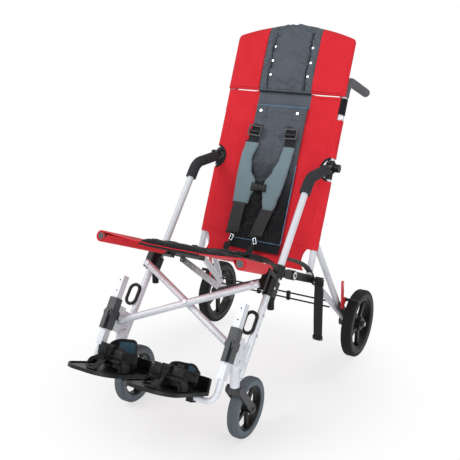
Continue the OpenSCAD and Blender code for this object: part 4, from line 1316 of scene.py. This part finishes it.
class BUGGY_OT_foot_straps(bpy.types.Operator):
    """The lined ankle cuffs and padded toe straps on the footplates, with their buckles"""

    bl_idname = "buggy.foot_straps"
    bl_label = "Foot straps"

    # Sideways lean, share of its full depth and height of the heel panel of each cuff
    CUFFS = {"right": (-5, 0.95, 80), "left": (15, 0.62, 62)}
    # Angles round each cuff, and heights up it, that the lining patch covers
    LININGS = {
        "right": (span(52, 132, 24), span(-0.3, 0.82, 8)),
        "left": (span(40, 78, 16), span(0.3, 0.84, 8)),
    }
    LEAD_RISE = {"right": 58, "left": 50}
    # Place on the plate and tilt of each buckle
    BUCKLES = {
        "right": ((-14, -102, 50, -74), (34, -88, 44, -60)),
        "left": ((-22, -108, 40, -72), (34, -84, 45, -60)),
    }

    def execute(self, context):
        floor, lead_y = 18.3, -158
        sideways = Vector((1, 0, 0))
        for name, s in SIDES.items():
            centre = s * (TUBE_X - 116)
            lean, open_by, high = self.CUFFS[name]
            angles, ks = span(0, 360, 72), span(-1, 1, 12)

            def cuff(a, k, depth):
                """Round the ankle: a is 90 at the tall heel panel and 270 at the strap in front."""
                t = math.radians(a)
                heel, up = math.sin(t), (k + 1) / 2
                back = max(heel, 0) ** 0.8
                wave = ripple((55 * math.cos(t), 55 * heel, k * 20 + 90 * s), 30, 6.0)
                sway = ripple((40 * math.cos(t), 40 * heel, 5 + s), 34, 9.0)
                x = (53 - depth + wave) * math.cos(t) * (1 - 0.16 * up * back) + lean * up
                y = -26 + (42 * open_by - depth + wave) * heel - 9 * up * back
                z = floor + 4 + 20 * (1 - back) + (32 + (high - 32) * back) * up + up * sway
                return PLATE.at(centre + x, y, z)

            def toe(a, k, depth):
                """Over the toes, from one side of the plate to the other."""
                t = math.radians(a)
                rise = math.sin(t)
                x = centre + (62 - depth) * math.cos(t)
                y = -86 + k * 25 * (0.85 + 0.15 * abs(math.cos(t))) + 14 * rise
                wave = ripple((a * 1.1, k * 30, 40 + 9 * s), 24, 8.0) * rise
                return PLATE.at(x, y, floor + (38 - depth + 7 * k) * rise**0.8 + wave)

            def lead(u):
                """From the toe end of the plate up to the ankle, out of its eye."""
                x = centre - 16 * u + 3 * math.sin(5 * u)
                wave = ripple((60 * u, s, 0), 20, 4.0) * u
                return PLATE.at(x, lead_y + 92 * u, floor + 1.5 + self.LEAD_RISE[name] * u**1.2 + wave)

            cuff_front = [[cuff(a, k, 0) for k in ks] for a in angles]
            cuff_back = [[cuff(a, k, 4.5) for k in ks] for a in angles]
            lined, heights = self.LININGS[name]
            lining_front = [[cuff(a, k, 4.4) for k in heights] for a in lined]
            lining_back = [[cuff(a, k, 7.2 + ripple((a, 9 * k, 3), 14, 2.0)) for k in heights] for a in lined]
            belt = [cuff(a, 0.05, -2.0) for a in span(150, 390, 48)]
            over = span(2, 178, 44)
            toe_front = [[toe(a, k, 3.5 - 3.5 * puff(k, 6)) for k in ks] for a in over]
            toe_back = [[toe(a, k, 6.5) for k in ks] for a in over]
            toe_belt = [toe(a, -0.2, -1.8) for a in over]
            path = [lead(u) for u in span(0, 1, 24)]
            drop = PLATE.way(0, 0, -1) * 2 * MM
            round_tip = [PLATE.way(0, math.cos(a), math.sin(a)) for a in span(0, 6.2, 20)]
            loop = [path[-1] + way * 9 * MM + drop for way in round_tip]
            parts = [
                shell("cuff", cuff_front, cuff_back, ["dark_nylon"], sharp=75),
                shell("lining", lining_front, lining_back, ["blue_lining"], sharp=75),
                cordon("rim", [cuff(a, 1.0, 2.2) for a in angles], 2.6, "black_webbing"),
                strap("cuff_belt", belt, [PLATE.way(0, 0, 1)] * 49, 23, -2.0, "black_webbing"),
                shell("toe_pad", toe_front, toe_back, ["dark_nylon"], sharp=75),
                strap("toe_belt", toe_belt, [PLATE.way(0, 1, 0)] * 45, 24, -2.0, "black_webbing"),
                strap("lead", path, [sideways] * 25, 22, 2.2, "black_webbing"),
                rounded_block("eye", PLATE, (centre, lead_y, floor + 2.5), (30, 14, 5), 2.0, "black_plastic"),
                strap("loop", loop, [sideways] * 21, 30, 2.4, "black_webbing"),
            ]
            for x, y, z, tilt in self.BUCKLES[name]:
                x += centre
                spot = PLATE.at(x, y, floor + z)
                hang = Plane(spot.y / MM, spot.z / MM, tilt)
                tail = [
                    hang.at(x + 2 * math.sin(d / 9), d, 4 + 2 * math.cos(d / 7)) for d in span(26, -34, 16)
                ]
                parts += [
                    rounded_block("buckle", hang, (x, 4, 5), (31, 26, 10), 2.8, "black_plastic", 5 * s),
                    ring_block("mouth", hang, (x, -16, 5), (29, 16), 3.4, 8.0, "black_plastic", 5 * s),
                    strap("tail", tail, [sideways] * 17, 22, 2.0, "black_webbing"),
                ]
            straps = join(f"{name}_foot_straps", parts)
            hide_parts(f"{name}_foot_strap")
            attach(straps, f"{name}_plate")
        return {"FINISHED"}


class BUGGY_OT_hanging_strap(bpy.types.Operator):
    """The webbing strap that hangs from the elbow block, and the ends of the frame's belts"""

    bl_idname = "buggy.hanging_strap"
    bl_label = "Hanging strap"

    # Points (y, z) that the belt ends follow, from the seat down behind the elbows
    BELT_LINE = (
        (-150, 508),
        (-106, 488),
        (-53, 463),
        (-20, 445),
        (6, 427),
        (29, 406),
        (44, 388),
        (54, 372),
        (58, 360),
    )
    # The right belt shows its lower end alone
    BELT_START = {"right": 4, "left": 0}
    BELT_X = 221

    def execute(self, context):
        x, y, top, foot, width = 254.5, 41.5 + SHIFT, 372, 158, 30
        across = Vector((1, 0, 0))
        level = Plane(0, 0, 0)
        parts = []
        for layer, start in ((0, top), (4.5, 340)):
            path = [
                Vector((x + 1.5 * math.sin(z / 60), y + layer + 2 * math.sin(z / 80 + layer), z)) * MM
                for z in span(start, foot, 44)
            ]
            parts.append(strap("fall", path, [across] * len(path), width, 2.2, "black_webbing"))
        loop = [
            Vector((x, y + 2 - 12 * math.sin(a), top + 11 * (1 - math.cos(a)) / 2)) * MM
            for a in span(-0.4, math.pi + 0.2, 14)
        ]
        parts += [
            strap("loop", loop, [across] * len(loop), width, 2.4, "black_webbing"),
            ring_block("loop_frame", level, (x - 4, y - 4, top - 6), (42, 22), 5.0, 6.0, "black_plastic"),
            rounded_block("arm", level, (x - 16, y - 2, top + 1), (20, 26, 6), 2.0, "black_plastic"),
            rounded_block("end", level, (x, y + 2, foot + 2), (36, 9, 18), 2.4, "black_plastic"),
        ]
        for aside in (-14, 14):
            spot = (x + aside, y + 1, foot - 4)
            parts.append(rounded_block("tip", level, spot, (7, 10, 6), 1.6, "bright_steel"))
        made = join("hanging_strap_webbing", parts)
        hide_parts("tether_strap")
        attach(made, "left_frame")
        for name, s in SIDES.items():
            spots = self.BELT_LINE[self.BELT_START[name] :]
            path = [Vector((s * self.BELT_X, along + SHIFT, up)) * MM for along, up in spots]
            ways = [path[min(i + 1, len(path) - 1)] - path[max(i - 1, 0)] for i in range(len(path))]
            lean = [Vector((0.25, -way.z, way.y)) for way in ways]
            end = strap(f"{name}_belt_end", path, lean, 20, 3.0, "grey_webbing")
            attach(end, f"{name}_frame")
        return {"FINISHED"}


class BUGGY_OT_brake_cable(bpy.types.Operator):
    """The brake cables and their clips, as a copy that rides on the right frame"""

    bl_idname = "buggy.brake_cable"
    bl_label = "Brake cable"

    def execute(self, context):
        run = bpy.data.objects.new("brake_cable_run", frame["nodes"]["brake_cable"].data.copy())
        context.scene.collection.objects.link(run)
        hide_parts("brake_cable")
        fold_with(run, "right_frame")
        return {"FINISHED"}


class BUGGY_OT_fasteners(bpy.types.Operator):
    """Bolt heads, elbow discs, axle caps, stem covers and tie rings on the frame"""

    bl_idname = "buggy.fasteners"
    bl_label = "Fasteners"

    # Points of the bent cover over each caster stem
    STEM_BEND = (
        (210, -450, 236),
        (210, -450, 250),
        (211, -447, 259),
        (213, -440, 264),
        (215, -429, 262),
        (216, -419, 252),
    )
    STEM_R = 14.2
    ELBOW = Plane(-20 + SHIFT, 398, LEAN)
    DISC_Y = -92
    AXLE_END = 331.0
    # The tie rings: radius of their round ends, half of what lies between, and cord radius
    OVAL_R, OVAL_HALF, OVAL_CORD = 18, 15, 5.4

    def execute(self, context):
        for name, s in SIDES.items():
            out = Vector((s, 0, 0))
            spots = [(LEG.at(s * (TUBE_X + 4.6), -40, u), out) for u in (-150, -108)]
            spots += [(LEG.at(s * (TUBE_X + 11.4), 0, u), out) for u in (-58, 6)]
            spots += [(LEG.at(s * (TUBE_X + 16.4), y, 97), out) for y in (0, 26)]
            bolts = heads(f"{name}_frame_bolts", spots, 5.0, 3.4, "bright_steel", 6)
            disc_at, eye_at = [self.ELBOW.at(s * (TUBE_X + by), self.DISC_Y, 0) for by in (14, 15.4)]
            disc = heads(f"{name}_elbow_disc", [(disc_at, out)], 13.0, 2.4, "bright_steel", 32)
            eye = heads(f"{name}_elbow_eye", [(eye_at, out)], 5.0, 2.4, "black_plastic", 24)
            bend = [Vector((s * x, y + SHIFT, z)) * MM for x, y, z in self.STEM_BEND]
            cover = cordon(f"{name}_stem_head", bend, self.STEM_R, "white_enamel", 24)
            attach(cover, f"{name}_frame")

            def oval(a):
                x = self.OVAL_R * math.cos(a)
                z = self.OVAL_R * math.sin(a) + math.copysign(self.OVAL_HALF, math.sin(a))
                return LEG.at(s * TUBE_X - 18 + x, -15.5, z - 26)

            turn = [oval(a) for a in span(0.02, 2 * math.pi + 0.02, 64)]
            ring = cordon(f"{name}_tie_oval", turn, self.OVAL_CORD, "black_plastic", 16)
            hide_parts(f"{name}_tie_ring")
            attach(ring, f"{name}_frame")
            axle_at = Vector((s * self.AXLE_END, *REAR_AXLE)) * MM
            axle = heads(f"{name}_axle_cap", [(axle_at, out)], 6.5, 2.4, "bright_steel", 24)
            for made in (bolts, disc, eye, axle):
                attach(made, f"{name}_frame")
        return {"FINISHED"}


class BUGGY_OT_stage(bpy.types.Operator):
    """The camera, the soft lights and the pale floor"""

    bl_idname = "buggy.stage"
    bl_label = "Stage"

    # Name, place, size and share of the key light's power of each lamp
    LAMPS = (
        ("key_light", (-2.2, -2.6, 3.4), 2.4, 1.0),
        ("fill_light", (3.0, -1.6, 2.2), 2.6, 0.5),
        ("back_light", (0.6, 3.0, 2.8), 2.2, 0.45),
        ("low_light", (0.9, -3.0, 0.5), 1.6, 0.42),
    )
    AIM = Vector((0, 0, 0.5))
    SENSOR = 36
    FLOOR_HALF = 14.0
    # The floor takes the object's shadow within the first reach, in metres, and is white past the second
    SHADOW_REACH, WHITE_REACH, SHADOW_WHITE = 0.3, 0.74, 0.6

    def execute(self, context):
        scene, setting = context.scene, context.scene.buggy_stage
        self.camera(scene, setting)
        self.lamps(scene, setting)
        self.backdrop(scene, setting)
        self.floor(scene)
        scene.view_settings.view_transform = "Standard"
        return {"FINISHED"}

    def camera(self, scene, setting):
        lens = bpy.data.cameras.new("camera")
        lens.lens, lens.sensor_width = setting.lens, self.SENSOR
        eye = bpy.data.objects.new("camera", lens)
        eye.location = setting.eye
        eye.rotation_euler = (math.pi / 2 - setting.elevation, 0, setting.azimuth)
        scene.collection.objects.link(eye)
        scene.camera = eye

    def lamps(self, scene, setting):
        for name, place, size, share in self.LAMPS:
            lamp = bpy.data.lights.new(name, "AREA")
            lamp.energy, lamp.size = setting.key * share, size
            made = bpy.data.objects.new(name, lamp)
            made.location = place
            made.rotation_euler = (self.AIM - Vector(place)).to_track_quat("-Z", "Y").to_euler()
            scene.collection.objects.link(made)

    def backdrop(self, scene, setting):
        """Even light from all round, which the camera sees as white."""
        world = bpy.data.worlds.new("studio")
        scene.world = world
        world.use_nodes = True
        tree = world.node_tree
        sky = tree.nodes["Background"]
        sky.inputs["Color"].default_value = (1, 1, 1, 1)
        sky.inputs["Strength"].default_value = setting.sky
        plain = add(tree, "ShaderNodeBackground", {"Color": (1, 1, 1, 1), "Strength": 1.0})
        mixed = add(tree, "ShaderNodeMixShader", {0: self.seen(tree), 1: sky.outputs[0], 2: plain.outputs[0]})
        tree.links.new(mixed.outputs[0], tree.nodes["World Output"].inputs["Surface"])

    def floor(self, scene):
        """A matt floor that keeps the shadow near the object and fades to white round it."""
        wide = self.FLOOR_HALF
        corners = [(-wide, -wide, 0), (wide, -wide, 0), (wide, wide, 0), (-wide, wide, 0)]
        mesh = bpy.data.meshes.new("floor")
        mesh.from_pydata(corners, [], [(0, 1, 2, 3)])
        made = bpy.data.objects.new("floor", mesh)
        scene.collection.objects.link(made)
        paint = bpy.data.materials.new("pale_floor")
        paint.use_nodes = True
        tree = paint.node_tree
        tree.nodes.remove(tree.nodes["Principled BSDF"])
        matt = add(tree, "ShaderNodeBsdfDiffuse", {"Color": linear("F4F4F4")})
        glow = add(tree, "ShaderNodeEmission", {"Color": (1, 1, 1, 1), "Strength": 1.0})
        place = add(tree, "ShaderNodeTexCoord").outputs["Object"]
        reach = add(tree, "ShaderNodeVectorMath", {0: place}, operation="LENGTH")
        plain = add(
            tree,
            "ShaderNodeMapRange",
            {
                "Value": reach.outputs["Value"],
                "From Min": self.SHADOW_REACH,
                "From Max": self.WHITE_REACH,
                "To Min": self.SHADOW_WHITE,
                "To Max": 1.0,
            },
            interpolation_type="SMOOTHSTEP",
        )
        share = add(tree, "ShaderNodeMath", {0: self.seen(tree), 1: plain.outputs[0]}, operation="MULTIPLY")
        both = {0: share.outputs[0], 1: matt.outputs[0], 2: glow.outputs[0]}
        mixed = add(tree, "ShaderNodeMixShader", both)
        tree.links.new(mixed.outputs[0], tree.nodes["Material Output"].inputs["Surface"])
        mesh.materials.append(paint)
        return made

    def seen(self, tree):
        """One for rays from the camera, and for what metal and glass show."""
        rays = add(tree, "ShaderNodeLightPath").outputs
        found = rays["Is Camera Ray"]
        for kind in ("Is Glossy Ray", "Is Transmission Ray"):
            found = add(tree, "ShaderNodeMath", {0: found, 1: rays[kind]}, operation="MAXIMUM").outputs[0]
        return found


OPERATORS = (
    BUGGY_OT_stage,
    BUGGY_OT_finishes,
    BUGGY_OT_back_sling,
    BUGGY_OT_head_panel,
    BUGGY_OT_back_pad,
    BUGGY_OT_harness,
    BUGGY_OT_seat,
    BUGGY_OT_lap_belt,
    BUGGY_OT_foot_straps,
    BUGGY_OT_hanging_strap,
    BUGGY_OT_brake_cable,
    BUGGY_OT_fasteners,
)


class BUGGY_PT_panel(bpy.types.Panel):
    """Sizes and makers of the buggy's looks"""

    bl_idname = "BUGGY_PT_panel"
    bl_label = "Buggy"
    bl_space_type = "VIEW_3D"
    bl_region_type = "UI"
    bl_category = "Buggy"

    def draw(self, context):
        for group in (cloth(), colours(), context.scene.buggy_stage):
            for key in group.__annotations__:
                self.layout.prop(group, key)
        for kind in OPERATORS:
            self.layout.operator(kind.bl_idname)


CLASSES = (BuggyCloth, BuggyColours, BuggyStage) + OPERATORS + (BUGGY_PT_panel,)


def register():
    for kind in CLASSES:
        bpy.utils.register_class(kind)
    bpy.types.Scene.buggy_cloth = PointerProperty(type=BuggyCloth)
    bpy.types.Scene.buggy_colours = PointerProperty(type=BuggyColours)
    bpy.types.Scene.buggy_stage = PointerProperty(type=BuggyStage)


def unregister():
    del bpy.types.Scene.buggy_stage
    del bpy.types.Scene.buggy_colours
    del bpy.types.Scene.buggy_cloth
    for kind in reversed(CLASSES):
        bpy.utils.unregister_class(kind)


def main():
    register()
    for kind in OPERATORS:
        group, name = kind.bl_idname.split(".")
        getattr(getattr(bpy.ops, group), name)()


if __name__ == "__main__":
    main()
